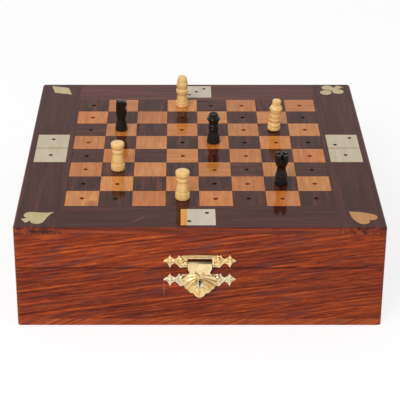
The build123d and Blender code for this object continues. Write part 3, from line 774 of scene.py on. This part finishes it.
# Turned men, as (radius, height) from the seat upwards. A point given twice is a sharp corner.
peg_line = [(0, -3.6), (0.95, -3.6), (1.15, -3.35), (1.15, 0.3)]
pawn_line = [(0, 0), (0, 0), (3.4, 0), (3.4, 0), (3.95, 0.25), (4.15, 0.9), (4.12, 2.5), (4.12, 2.5),
             (3.86, 2.75), (3.86, 2.75), (4.04, 3.0), (3.98, 3.9), (3.98, 3.9), (3.62, 4.2),
             (3.62, 4.2), (3.62, 6.0), (3.3, 8.2), (3.05, 9.7), (3.0, 10.4), (3.0, 10.4),
             (3.2, 10.8), (3.32, 11.5), (3.25, 12.4), (3.25, 12.4), (3.0, 12.8), (3.05, 13.3),
             (3.05, 13.3), (3.55, 13.9), (3.88, 14.7), (3.98, 15.6), (3.95, 16.5), (3.65, 17.1),
             (3.1, 17.4), (2.6, 17.55), (2.6, 17.55), (1.2, 17.55), (0, 17.5)]
bishop_line = [(0, 0), (0, 0), (3.3, 0), (3.3, 0), (3.75, 0.2), (3.9, 0.8), (3.86, 1.5), (3.86, 1.5),
               (3.6, 1.75), (3.6, 1.75), (3.84, 2.0), (3.8, 3.0), (3.8, 3.0), (3.4, 3.3),
               (3.4, 3.3), (3.55, 3.8), (3.25, 5.6), (2.98, 7.2), (2.95, 7.7), (2.95, 7.7), (3.3, 8.3),
               (3.72, 9.4), (3.84, 10.2), (3.72, 11.1), (3.35, 11.9), (3.2, 12.3), (3.2, 12.3),
               (3.42, 12.8), (3.66, 13.9), (3.7, 14.8), (3.6, 15.6), (3.4, 16.3), (3.2, 16.7),
               (3.2, 16.7), (3.25, 17.3), (3.1, 18.3), (2.8, 19.3), (2.4, 20.1), (1.5, 20.47), (0, 20.57)]
queen_line = [(0, 0), (0, 0), (3.4, 0), (3.4, 0), (3.9, 0.25), (4.08, 1.0), (4.0, 2.3), (4.0, 2.3),
              (3.72, 2.6), (3.72, 2.6), (3.78, 3.2), (3.62, 4.3), (3.1, 6.4), (2.85, 8.2), (2.9, 8.6),
              (2.9, 8.6), (3.2, 9.0), (3.3, 9.8), (3.0, 10.3), (3.0, 10.3), (3.38, 10.9),
              (3.38, 11.6), (3.0, 12.1), (3.0, 12.1), (2.85, 12.8), (3.0, 13.7), (3.5, 14.7),
              (3.95, 15.5), (3.92, 16.1), (3.55, 16.7), (3.05, 17.1), (3.05, 17.1), (2.9, 17.8),
              (2.7, 18.6), (2.5, 19.2), (2.5, 19.2), (1.8, 19.2), (1.6, 18.7), (0, 18.5)]
king_line = [(0, 0), (0, 0), (3.3, 0), (3.3, 0), (3.8, 0.2), (3.95, 0.8), (3.9, 2.0), (3.9, 2.0),
             (3.55, 2.3), (3.55, 2.3), (3.8, 2.7), (3.7, 3.7), (3.2, 4.3), (2.95, 4.7),
             (2.95, 4.7), (3.1, 5.6), (3.2, 5.9), (3.2, 5.9), (3.42, 6.3), (3.42, 6.9),
             (3.2, 7.3), (3.2, 7.3), (3.25, 8.2), (3.2, 8.7), (3.2, 8.7), (3.42, 9.1), (3.45, 9.8),
             (3.25, 10.3), (3.25, 10.3), (3.35, 11.2), (3.65, 12.4), (3.95, 13.7), (3.9, 14.4),
             (3.4, 15.3), (2.9, 16.0), (2.45, 16.5), (2.45, 16.5), (2.62, 17.1), (2.65, 18.3),
             (2.65, 19.1), (2.3, 19.6), (1.5, 19.85), (0, 19.9)]
rook_line = [(0, 0), (0, 0), (3.2, 0), (3.2, 0), (3.7, 0.2), (3.85, 0.8), (3.82, 1.9), (3.82, 1.9),
             (3.55, 2.1), (3.55, 2.1), (3.78, 2.35), (3.74, 3.3), (3.74, 3.3), (3.42, 3.6),
             (3.42, 3.6), (3.6, 4.2), (3.4, 5.6), (2.85, 7.6), (2.52, 9.2), (2.5, 10.2),
             (2.6, 10.8), (3.0, 11.5), (3.45, 12.6), (3.75, 14.0), (3.9, 15.3),
             (3.88, 17.0), (3.8, 18.3), (3.72, 18.65), (3.5, 18.8), (3.5, 18.8), (2.35, 18.8),
             (2.2, 18.6), (2.2, 17.0), (2.2, 17.0), (0, 16.8)]
knight_line = [(0, 0), (0, 0), (3.2, 0), (3.2, 0), (3.7, 0.2), (3.85, 0.8), (3.8, 1.9), (3.8, 1.9),
               (3.55, 2.2), (3.55, 2.2), (3.5, 3.2), (3.2, 4.6), (2.85, 6.6), (2.7, 8.2),
               (2.75, 8.8), (2.75, 8.8), (2.2, 9.2), (0, 9.3)]
# The knight's head from the side, nose along +X, as (along, up)
head_outline = [(-2.3, 8.0), (-2.3, 8.0), (-3.0, 10.8), (-3.1, 14.6), (-3.0, 18.0), (-2.6, 20.3),
                (-1.9, 20.3), (-1.3, 19.6), (-0.4, 19.6), (1.8, 19.4), (3.3, 18.8), (3.6, 17.6),
                (3.5, 16.5), (2.8, 16.0), (2.6, 15.3), (3.2, 14.4), (3.5, 13.2), (3.3, 11.0),
                (2.5, 8.0), (2.5, 8.0)]
# How its cheeks round off, as (how far in from the outline, across), and what is cut into it
cheeks = ((0.5, -2.5), (0.2, -2.2), (0, -1.6), (0, 1.6), (0.2, 2.2), (0.5, 2.5))
mane_cuts = 5
mane_foot = 11.0
mane_pitch = 1.8
mane_slope = 30
eye_radius = 0.55
# The saw cuts across a rook's cup, and the part of the cup that is left unpolished
saw_width = 1.8
saw_floor = 16.1
cup_floor, cup_rim = 16, 18.75
cup_radius = 3.4
# The hollows filed into a queen's rim
rim_hollows = 8
file_radius = 0.62
file_place = (2.45, 0, 19.5)
lines = {"pawn": pawn_line, "bishop": bishop_line, "queen": queen_line, "king": king_line,
         "rook": rook_line, "knight": knight_line}


def knight_head():
    """A flat head with rounded cheeks, before its mane and eyes are cut."""
    outline = flowing(head_outline, 4, closed=True)
    on_edge = Matrix.Rotation(math.radians(90), 4, "X")
    bm = bmesh.new()
    rings = []
    for inset, across in cheeks:
        rings.append([bm.verts.new(on_edge @ Vector((p.x, p.y, across)))
                      for p in shrunk(outline, inset)])
    rings_to_faces(bm, rings)
    bm.faces.new(rings[0])
    bm.faces.new(rings[-1])
    return as_mesh(bm, "knight_head")


def head_cuts():
    """What is carved out of a knight's head: slanting cuts for the mane, and the eyes."""
    bm = bmesh.new()
    for step in range(mane_cuts):
        for side in (-1, 1):
            place = (Matrix.Translation((-3.0, side * 2.5, mane_foot + mane_pitch * step))
                     @ Matrix.Rotation(math.radians(mane_slope), 4, "Y")
                     @ Matrix.Diagonal((2.2, 0.5, 0.35, 1)))
            bmesh.ops.create_cube(bm, size=1, matrix=place)
    for side in (-1, 1):
        bmesh.ops.create_uvsphere(bm, u_segments=12, v_segments=8, radius=eye_radius,
                                  matrix=Matrix.Translation((0.7, side * 2.6, 17.6)))
    return as_mesh(bm, "head_cuts")


def turning(points):
    """The half profile of a turned piece through the points, for the lathe."""
    return [(max(p.x, 0), p.y) for p in flowing(points, 3)]


def made_man(kind):
    """One man about the middle of its seat, without its peg."""
    bm = bmesh.new()
    turn(bm, turning(lines[kind]))
    shape = as_mesh(bm, kind)
    tool = bmesh.new()
    if kind == "rook":
        for _ in range(2):
            block(tool, (-saw_width / 2, -4.5, saw_floor), (saw_width / 2, 4.5, 21))
            shape = combined(shape, as_mesh(tool, "saw"), "DIFFERENCE")
            shape.transform(Matrix.Rotation(math.radians(90), 4, "Z"))
            tool = bmesh.new()
        for face in shape.polygons:
            if cup_floor < face.center.z < cup_rim and face.center.xy.length < cup_radius:
                face.material_index = 1
    elif kind == "queen":
        for k in range(rim_hollows):
            turned = Matrix.Rotation(math.radians((k + 0.5) * 360 / rim_hollows), 4, "Z")
            bmesh.ops.create_uvsphere(tool, u_segments=12, v_segments=8, radius=file_radius,
                                      matrix=turned @ Matrix.Translation(file_place))
        shape = combined(shape, as_mesh(tool, "round_file"), "DIFFERENCE")
        tool = bmesh.new()
    elif kind == "knight":
        head = combined(knight_head(), head_cuts(), "DIFFERENCE")
        shape = combined(shape, head, "UNION")
    tool.free()
    return shape


shapes = {kind: made_man(kind) for kind in lines}


def put_men(name, kind, places, body, colour, stands_for):
    """Men of one kind and colour, each at its place, as one piece."""
    bm = bmesh.new()
    for place, seat in places:
        bm.from_mesh(shapes[kind])
        fresh = [vert for vert in bm.verts if not vert.tag]
        bmesh.ops.transform(bm, matrix=place @ seat, verts=fresh)
        turn(bm, peg_line + [(0, 0.3)], place, 20)
        for vert in bm.verts:
            vert.tag = True
    slot, finish, sawn = {"white": ("boxwood", boxwood, boxwood),
                          "black": ("ebonised_wood", ebonised, sawn_ebonised)}[colour]
    shape = as_mesh(bm, name)
    shape.materials.append(finish)
    if kind == "rook":
        shape.materials.append(sawn)
    make_piece(name, shape, body, finish, [stands_for], crease=28)


# The white king leans over on the rim of its foot. All men stand a hair above the board, so
# that no face of theirs lies in it.
king_rim, king_lean = 3.95, 4.5
seat_gap = 0.02
upright = Matrix()
tipped = (Matrix.Translation((king_rim, 0, 0)) @ Matrix.Rotation(math.radians(king_lean), 4, "Y")
          @ Matrix.Translation((-king_rim, 0, 0)))
standing = [("white", "bishop", "d8", 3, 7), ("black", "knight", "b6", 1, 5),
            ("white", "king", "g6", 6, 5), ("black", "queen", "e5", 4, 4),
            ("white", "pawn", "b3", 1, 2), ("black", "rook", "g2", 6, 1),
            ("white", "pawn", "d1", 3, 0)]
for colour, kind, square, column, row in standing:
    node = f"{colour}_{kind}_{square}"
    place = Matrix.Translation(square_middle(column, row) + Vector((0, 0, board_top + seat_gap)))
    put_men(f"{node}_turned", kind, [(place, tipped if kind == "king" else upright)],
            node, colour, node)

# Men put away, lying in the troughs with their heads to the middle. Knights lie on a cheek, and
# each of the others is turned further round than the one before.
spin_step = 37
wall_to_peg = 1.5
peg_length = 3.6
row_end_room = 15.5
men_a_row = 13
man_pitch = (felt_high.y - felt_low.y - 2 * row_end_room) / (men_a_row - 1)
base_x = felt_high.x - wall_to_peg - peg_length
widest = {kind: max(radius for radius, _ in line) for kind, line in lines.items()}
put_away = {
    "white": (-1, ["queen", "bishop", "knight", "knight", "rook", "rook"] + 6 * ["pawn"]),
    "black": (1, ["king", "bishop", "bishop", "knight", "rook"] + 8 * ["pawn"]),
}
for colour, (side, row) in put_away.items():
    for kind in sorted(set(row)):
        places = []
        for order, name in enumerate(row):
            if name != kind:
                continue
            where = Vector((side * base_x, (order - (len(row) - 1) / 2) * man_pitch,
                            felt_high.z + widest[kind]))
            lying = Matrix.Translation(where) @ Matrix.Rotation(math.radians(-90 * side), 4, "Y")
            spin = Matrix.Rotation(math.radians(90 if kind == "knight" else spin_step * order), 4, "Z")
            places.append((lying, spin))
        plural = "s" if len(places) > 1 else ""
        node = f"stored_{colour}_{kind}{plural}"
        put_men(f"{node}_turned", kind, places, f"{colour}_reserve", colour, node)

# The clasp, in the plane of the box's front: across, up from the plate's middle, and out
sheet = 0.8
pressed_crease = 65
clearance = 0.05
clasp_height = 41.6
catch_height = 30.05
rosette = 16.4
grid_step = 0.22


def on_front(height, out=0.0):
    """The plane of the box's front at a height, with its normal to the player."""
    return (Matrix.Translation((0, front_y - out, height)) @ Matrix.Rotation(math.radians(90), 4, "X"))


def ridge(point, start, end, width, height):
    """How far a pressed ridge with a sharp crest lifts the sheet at a point."""
    start, end = Vector(start), Vector(end)
    run = end - start
    share = min(max((point - start).dot(run) / run.length_squared, 0), 1)
    away = (point - start - run * share).length
    return height * max(0.0, 1 - away / (width / 2))


def dome(point, centre, radius, height):
    """How far a pressed dome lifts the sheet at a point."""
    away = (point - Vector(centre)).length / radius
    return height * max(0.0, 1 - away * away)


def pressed(outline, relief, holes=()):
    """Sheet brass pressed to a relief and cut to an outline, lying on its own plane."""
    low = Vector((min(p.x for p in outline), min(p.y for p in outline))) - Vector((1, 1)) * grid_step
    high = Vector((max(p.x for p in outline), max(p.y for p in outline))) + Vector((1, 1)) * grid_step
    across = math.ceil((high.x - low.x) / grid_step)
    up = math.ceil((high.y - low.y) / grid_step)
    bm = bmesh.new()
    face, back = [], []
    for j in range(up + 1):
        for i in range(across + 1):
            point = low + Vector((i, j)) * grid_step
            face.append(bm.verts.new((point.x, point.y, sheet + relief(point))))
            back.append(bm.verts.new((point.x, point.y, 0)))
    for j in range(up):
        for i in range(across):
            k = j * (across + 1) + i
            corners = (k, k + 1, k + across + 2, k + across + 1)
            bm.faces.new([face[c] for c in corners])
            bm.faces.new([back[c] for c in reversed(corners)])
    for edge in [e for e in bm.edges if e.is_boundary and e.verts[0].co.z > 0.01]:
        twins = [back[face.index(v)] for v in edge.verts]
        bm.faces.new([edge.verts[0], edge.verts[1], twins[1], twins[0]])
    tool = bmesh.new()
    slab(tool, outline, -1, 4, 0.01)
    shape = combined(as_mesh(bm, "pressed_sheet"), as_mesh(tool, "die_outline"), "INTERSECT")
    for cut in holes:
        tool = bmesh.new()
        cut(tool)
        shape = combined(shape, as_mesh(tool, "punch"), "DIFFERENCE")
    return shape


plate_edge = both_sides([Vector(p) for p in (
    (0, 3.5), (9.6, 3.2), (10.3, 2.7), (11.4, 3.7), (12.2, 2.1), (13.6, 1.0), (15.2, 1.9),
    (rosette, 3.9), (17.7, 1.5), (19.8, 0.4), (19.8, -0.4), (17.7, -1.6), (rosette, -4.0),
    (15.1, -2.2), (13.6, -1.4), (12.2, -2.4), (10.8, -4.2), (0, -4.2))])


def plate_relief(point):
    """A cross of ridges on each rosette, two more and a dome beside it, and the ribs along both
    edges of the plate."""
    p = Vector((abs(point.x), point.y))
    tips = ((rosette, 3.7), (rosette, -3.8), (19.6, 0), (13.5, 0))
    lift = max(ridge(p, (rosette, 0), tip, 2.6, 0.85) for tip in tips)
    lift = max(lift, ridge(p, (13.2, -0.2), (11.4, 3.3), 2.6, 0.55))
    lift = max(lift, ridge(p, (13.0, -0.4), (10.7, -3.8), 2.6, 0.5))
    lift = max(lift, dome(p, (10.2, 0.1), 1.9, 0.85), ridge(p, (0, 2.5), (9.4, 2.5), 2.0, 0.45))
    lift = max(lift, ridge(p, (9.4, 2.5), (11.0, 3.1), 1.3, 0.55))
    return max(lift, ridge(p, (0, -3.6), (10.6, -3.6), 1.1, 0.35))


hasp_width = 13.2
end_clearance = 0.2
window_low, window_high = -5.0, 1.1
nail_radius = 0.55


def nail_holes(tool):
    for side in (-1, 1):
        bmesh.ops.create_cone(tool, cap_ends=True, segments=16, radius1=nail_radius, radius2=nail_radius,
                              depth=6, matrix=Matrix.Translation((side * rosette, 0, 0)))


def hasp_window(tool):
    half = hasp_width / 2 + end_clearance
    block(tool, (-half, window_low, -2), (half, window_high, 3))


hasp_pivot_drop = 1.4
hasp_axis_y = front_y - 1.3
hasp_axis_z = clasp_height - hasp_pivot_drop
curl_radius = 1.2
pin_radius = 0.6
ear_length = 1.7
ear_middle = hasp_width / 2 + end_clearance + ear_length / 2
nail_line = [(0, -5.2), (0, -5.2), (0.25, -4.9), (0.5, -4.0), (0.5, -4.0), (0.5, 0.5), (0.5, 0.5),
             (1.1, 0.5), (1.1, 0.5), (1.0, 0.72), (0.6, 0.97), (0, 1.05)]
nail_sink = 0.3


def bar(bm, middle, radius, length, bore=0.0, facets=32):
    """A round bar or tube along X about a point, with its rims eased."""
    lie = Matrix.Translation(middle) @ Matrix.Rotation(math.radians(90), 4, "Y")
    half, eased = length / 2, min(0.15, radius / 5)
    line = [(radius - eased, -half), (radius, eased - half), (radius, half - eased), (radius - eased, half)]
    if bore:
        line = [(bore, -half)] + line + [(bore, half), (bore, -half)]
    else:
        line = [(0, -half)] + line + [(0, half)]
    rings = []
    for r, z in line[:-1] if bore else line:
        rings.append([bm.verts.new(lie @ Vector((r * math.cos(a), r * math.sin(a), z)))
                      for a in (2 * math.pi * k / facets for k in range(facets if r > 0 else 1))])
    rings_to_faces(bm, rings, loop=bool(bore))


for node, body, height, finish, holes in (
        ("hasp_plate", "lid", clasp_height, brass, (nail_holes, hasp_window)),
        ("catch_plate", "base", catch_height, pale_brass, (nail_holes,))):
    shape = pressed(plate_edge, plate_relief, holes)
    shape.transform(on_front(height))
    bm = bmesh.new()
    bm.from_mesh(shape)
    if node == "hasp_plate":
        for side in (-1, 1):
            bar(bm, (side * ear_middle, hasp_axis_y, hasp_axis_z), curl_radius, ear_length,
                pin_radius + clearance)
    make_piece(f"{node}_pressed", bm, body, finish, [node], crease=pressed_crease)

    bm = bmesh.new()
    for side in (-1, 1):
        turn(bm, turning(nail_line),
             on_front(height, sheet - nail_sink) @ Matrix.Translation((side * rosette, 0, 0)), 20)
    make_piece(f"{node}_round_nails", bm, body, finish, [f"{node}_nails"])

bm = bmesh.new()
bar(bm, (0, hasp_axis_y, hasp_axis_z), pin_radius, 2 * ear_middle + ear_length)
make_piece("hasp_round_pin", bm, "lid", brass, ["hasp_pin"])

# The hasp: a curl round the pin, a flat tongue and a fan of ribs from a hub above the knob
hasp_standoff = 1.7
knob_drop = 13.3
hub = (0, -9.0)
scallops = [(9.8, -11.3), (8.6, -14.3), (6.7, -17.2), (3.4, -19.6), (0, -22.4)]
# How far each scallop bulges between its corners, as (share of the way, outwards)
bulges = ((0.25, 0.3), (0.5, 0.42), (0.75, 0.3))
hasp_edge = [Vector(p) for p in ((0, -hasp_pivot_drop), (hasp_width / 2, -hasp_pivot_drop),
                                 (hasp_width / 2, -4.4), (5.5, -6.8))]
for start, end in zip(scallops, scallops[1:]):
    start, end = Vector(start), Vector(end)
    outward = Vector((-(end - start).y, (end - start).x)).normalized()
    hasp_edge += [start] + [start.lerp(end, share) + out * outward for share, out in bulges]
hasp_edge.append(Vector(scallops[-1]))
rib_height = 0.6
rib_rise = 5.0
boss_radius = 3.2
boss_slope = 0.5
knob_hole_radius = 1.02


def round_the_hub(point):
    """The bearing of a point from the hub in degrees: 0 is level, 90 is straight down."""
    away = Vector(point) - Vector(hub)
    return math.degrees(math.atan2(-away.y, away.x))


def hasp_relief(point):
    """The fan's petals, each with a sharp crest and a valley on either side, and the V above."""
    p = Vector((abs(point.x), point.y))
    lift = max(ridge(p, hub, (2.9, -6.2), 1.5, 0.6), ridge(p, (1.2, -8.2), (7.4, -9.0), 1.5, 0.5))
    bearing = round_the_hub(p)
    for start, end in zip(scallops, scallops[1:]):
        share = (bearing - round_the_hub(start)) / (round_the_hub(end) - round_the_hub(start))
        if 0 <= share <= 1:
            out = (p - Vector(hub)).length
            lift = max(lift, rib_height * (1 - abs(2 * share - 1)) * min(1, out / rib_rise))
    from_knob = (p - Vector((0, -knob_drop))).length
    return lift * min(max((from_knob - boss_radius + boss_slope) / boss_slope, 0), 1)


def knob_hole(tool):
    bmesh.ops.create_cone(tool, cap_ends=True, segments=16, radius1=knob_hole_radius,
                          radius2=knob_hole_radius, depth=6,
                          matrix=Matrix.Translation((0, -knob_drop, 0)))


shape = pressed(both_sides(hasp_edge), hasp_relief, (knob_hole,))
shape.transform(on_front(clasp_height, hasp_standoff))
bm = bmesh.new()
bm.from_mesh(shape)
bar(bm, (0, hasp_axis_y, hasp_axis_z), curl_radius, hasp_width, pin_radius + clearance)
shape = as_mesh(bm, "hasp")
shape.materials.append(brass)
shape.materials.append(painted_shade_brass)
# The curl's upper faces take a dark brass, painted shade on the curl: those that look up, and lie above the
# axis of the pin
faces_up, above_pin = 0.25, 0.2
for face in shape.polygons:
    if face.normal.z > faces_up and face.center.z > hasp_axis_z + above_pin:
        face.material_index = 1
make_piece("hasp_pressed", shape, "hasp", brass, ["hasp"], crease=pressed_crease)

# The knob, domed, with a wedge cut down across its face
knob_line = [(0, -0.8), (0, -0.8), (1.0, -0.8), (1.0, -0.8), (1.0, 0), (1.0, 0), (1.9, 0), (1.9, 0),
             (1.95, 0.25), (1.95, 0.25), (2.35, 0.35), (2.35, 0.35), (2.4, 0.5), (2.3, 0.95),
             (1.8, 1.65), (1.0, 2.07), (0, 2.2)]
wedge_edge = [Vector(p) for p in ((-0.15, -1.5), (-0.95, 3), (0.95, 3), (0.15, -1.5))]
wedge_floor = 0.9
bm = bmesh.new()
turn(bm, turning(knob_line), Matrix(), 32)
tool = bmesh.new()
slab(tool, wedge_edge, wedge_floor, 3, 0.01)
shape = as_mesh(bm, "knob")
shape.materials.append(knob_metal)
# The faces of the wedge cut take the dark brass, painted shade inside the slit
shape = combined(shape, as_mesh(tool, "wedge"), "DIFFERENCE", painted_shade_brass)
shape.transform(on_front(clasp_height - knob_drop, hasp_standoff + sheet))
make_piece("hasp_turned_knob", shape, "hasp", knob_metal, ["hasp_knob"])

# Two butt hinges let into the back
hinge_y = felt_high.y + 5.0
hinge_spacing = 110.0
hinge_length = 22.0
knuckle_length = 7.2
knuckle_radius = 2.0
hinge_pin_radius = 0.8
leaf_width = 4.6
leaf = 0.8
seam_gap = 0.2
screw_step = 7.0
screw_radius = 0.6
screw_y = hinge_y - (leaf_width + knuckle_radius) / 2
screw_line = [(0, 0.02), (0.5, 0.02), (screw_radius, 0.1), (0.58, 4.8), (0.1, 6.7), (0, 6.8)]
half_slot = Vector((1, 0.08, 0.2))
hinge_places = (-hinge_spacing / 2, hinge_spacing / 2)
screw_places = [x + side * screw_step for x in hinge_places for side in (-1, 1)]


def screw_holes(tool, fold):
    for x in screw_places:
        place = Matrix.Translation((x, screw_y, seam_height + fold * 0.5))
        bmesh.ops.create_cone(tool, cap_ends=True, segments=20, radius1=screw_radius + clearance,
                              radius2=screw_radius + clearance, depth=3, matrix=place)


for half, body, fold, knuckles in (("base", "base", -1, (-1, 1)), ("lid", "lid", 1, (0,))):
    bm = bmesh.new()
    tool = bmesh.new()
    near = seam_height + fold * seam_gap / 2
    far = near + fold * leaf
    for x in hinge_places:
        block(bm, (x - hinge_length / 2, hinge_y - leaf_width, min(near, far)),
              (x + hinge_length / 2, hinge_y, max(near, far)))
        for step in (-1, 0, 1):
            middle = (x + step * (hinge_length - knuckle_length) / 2, hinge_y, seam_height)
            if step not in knuckles:
                bar(tool, middle, knuckle_radius + 0.3, knuckle_length + 0.4)
        bar(tool, (x, hinge_y, seam_height), hinge_pin_radius + clearance, hinge_length + 1)
    screw_holes(tool, fold)
    shape = combined(as_mesh(bm, "leaves"), as_mesh(tool, "milling"), "DIFFERENCE")
    bm = bmesh.new()
    bm.from_mesh(shape)
    for x in hinge_places:
        for step in knuckles:
            middle = (x + step * (hinge_length - knuckle_length) / 2, hinge_y, seam_height)
            bar(bm, middle, knuckle_radius, knuckle_length, hinge_pin_radius + clearance)
    make_piece(f"{half}_hinge_leaves_rolled", bm, body, brass, [f"{half}_hinge_leaves"])

    bm = bmesh.new()
    tool = bmesh.new()
    for x in screw_places:
        middle = Vector((x, screw_y, near))
        into_wood = Matrix.Rotation(math.radians(90 - 90 * fold), 4, "X")
        turn(bm, screw_line, Matrix.Translation(middle) @ into_wood, 20)
        block(tool, middle - half_slot, middle + half_slot)
    shape = combined(as_mesh(bm, "screws"), as_mesh(tool, "screw_slot"), "DIFFERENCE")
    make_piece(f"{half}_hinge_slotted_screws", shape, body, brass, [f"{half}_hinge_screws"])

bm = bmesh.new()
for x in hinge_places:
    bar(bm, (x, hinge_y, seam_height), hinge_pin_radius, hinge_length)
make_piece("hinge_round_pins", bm, "base", brass, ["hinge_pins"])

# Felt glued to the floor: cut a hair small, with a softened edge and a faintly uneven face
felt_side = felt_high.x - felt_low.x
felt_cells = 48
felt_bevel = 0.6
felt_unevenness = 0.12
uneven = random.Random(7)
bm = bmesh.new()
columns = [-felt_side / 2 + felt_side * k / felt_cells for k in range(felt_cells + 1)]
drawn_in = 1 - felt_bevel / felt_side
face = [[bm.verts.new((x * drawn_in, y * drawn_in, felt_high.z - uneven.uniform(0, felt_unevenness)))
         for x in columns] for y in columns]
back = [[bm.verts.new((x, y, felt_low.z)) for x in columns] for y in columns]
for j in range(felt_cells):
    for i in range(felt_cells):
        bm.faces.new((face[j][i], face[j][i + 1], face[j + 1][i + 1], face[j + 1][i]))
        bm.faces.new((back[j][i], back[j + 1][i], back[j + 1][i + 1], back[j][i + 1]))
rim = ([(0, i) for i in range(felt_cells)] + [(j, felt_cells) for j in range(felt_cells)]
       + [(felt_cells, i) for i in range(felt_cells, 0, -1)] + [(j, 0) for j in range(felt_cells, 0, -1)])
for (j, i), (j_after, i_after) in zip(rim, rim[1:] + rim[:1]):
    bm.faces.new((back[j][i], back[j_after][i_after], face[j_after][i_after], face[j][i]))
felt_piece = make_piece("floor_felt", bm, "base", felt_cloth, ["floor_lining"])

# Where it stands, and the light on it


def seen_directly(tree):
    """1 for what the camera sees itself, in a reflection or through glass, and 0 for light."""
    path = add_node(tree, "LightPath")
    either = add_node(tree, "Math", {0: path.outputs["Is Camera Ray"], 1: path.outputs["Is Glossy Ray"]},
                      operation="MAXIMUM")
    return add_node(tree, "Math", {0: either.outputs[0], 1: path.outputs["Is Transmission Ray"]},
                    operation="MAXIMUM").outputs[0]


# The glow of the paper where it is seen, and its share beside the paper's own shaded white
paper_glow, glow_share = 1.14, 0.7
table_size = 5000
table_drop = 0.2
white_table, tree = started("white_paper_sweep")
paper = add_node(tree, "BsdfDiffuse", {"Color": linear("#eeeeee")})
white = add_node(tree, "Emission", {"Color": (1, 1, 1, 1), "Strength": paper_glow})
share = add_node(tree, "Math", {0: seen_directly(tree), 1: glow_share}, operation="MULTIPLY")
sweep = add_node(tree, "MixShader", {0: share.outputs[0], 1: paper.outputs[0], 2: white.outputs[0]})
add_node(tree, "OutputMaterial", {"Surface": sweep.outputs[0]})

bm = bmesh.new()
bmesh.ops.create_grid(bm, x_segments=8, y_segments=8, size=table_size,
                      matrix=Matrix.Translation((0, 0, -table_drop)))
floor = bpy.data.objects.new("white_table", as_mesh(bm, "white_table"))
floor.data.transform(Matrix.Scale(MM, 4))
floor.data.materials.append(white_table)
bpy.context.scene.collection.objects.link(floor)

# The room is white, dimmer as a light than as what is seen. What the lacquer and brass mirror
# gets dimmer towards the player's side.
room_light = 0.55
player_side = 0.3
scene = bpy.context.scene
scene.view_settings.view_transform = "Standard"
scene.world = bpy.data.worlds.new("white_room")
scene.world.use_nodes = True
tree = scene.world.node_tree
tree.nodes.clear()
toward = add_node(tree, "SeparateXYZ", {0: add_node(tree, "TexCoord").outputs["Generated"]})
behind_player = between(tree, toward.outputs["Y"], -0.35, 0.35, player_side, 1.0)
mirrored = add_node(tree, "LightPath").outputs["Is Glossy Ray"]
dimming = mixed_value(tree, mirrored, 1.0, behind_player)
level = add_node(tree, "Math", {0: between(tree, seen_directly(tree), 0, 1, room_light, 1.0), 1: dimming},
                 operation="MULTIPLY")
room = add_node(tree, "Background", {"Color": (1, 1, 1, 1), "Strength": level.outputs[0]})
add_node(tree, "OutputWorld", {"Surface": room.outputs[0]})

key = bpy.data.lights.new("window_light", "AREA")
key.shape = "DISK"
key.size = 0.7
key.energy = 9.0
lamp = bpy.data.objects.new("window_light", key)
lamp.location = (-0.5, -1.05, 0.9)
lamp.rotation_euler = (-lamp.location).to_track_quat("-Z", "Y").to_euler()
scene.collection.objects.link(lamp)

# The camera, solved from the corners of the box and the board. Its tilt is down from level.
camera_tilt = 26.18
lens = bpy.data.cameras.new("camera")
lens.sensor_width = 36
lens.lens = 132.75
lens.shift_x = 0.0498
lens.shift_y = -0.049
lens.clip_start, lens.clip_end = 0.05, 30
camera = bpy.data.objects.new("camera", lens)
camera.location = (-0.0108, -0.8061, 0.4365)
camera.rotation_euler = (math.radians(90 - camera_tilt), 0, 0)
scene.collection.objects.link(camera)
scene.camera = camera
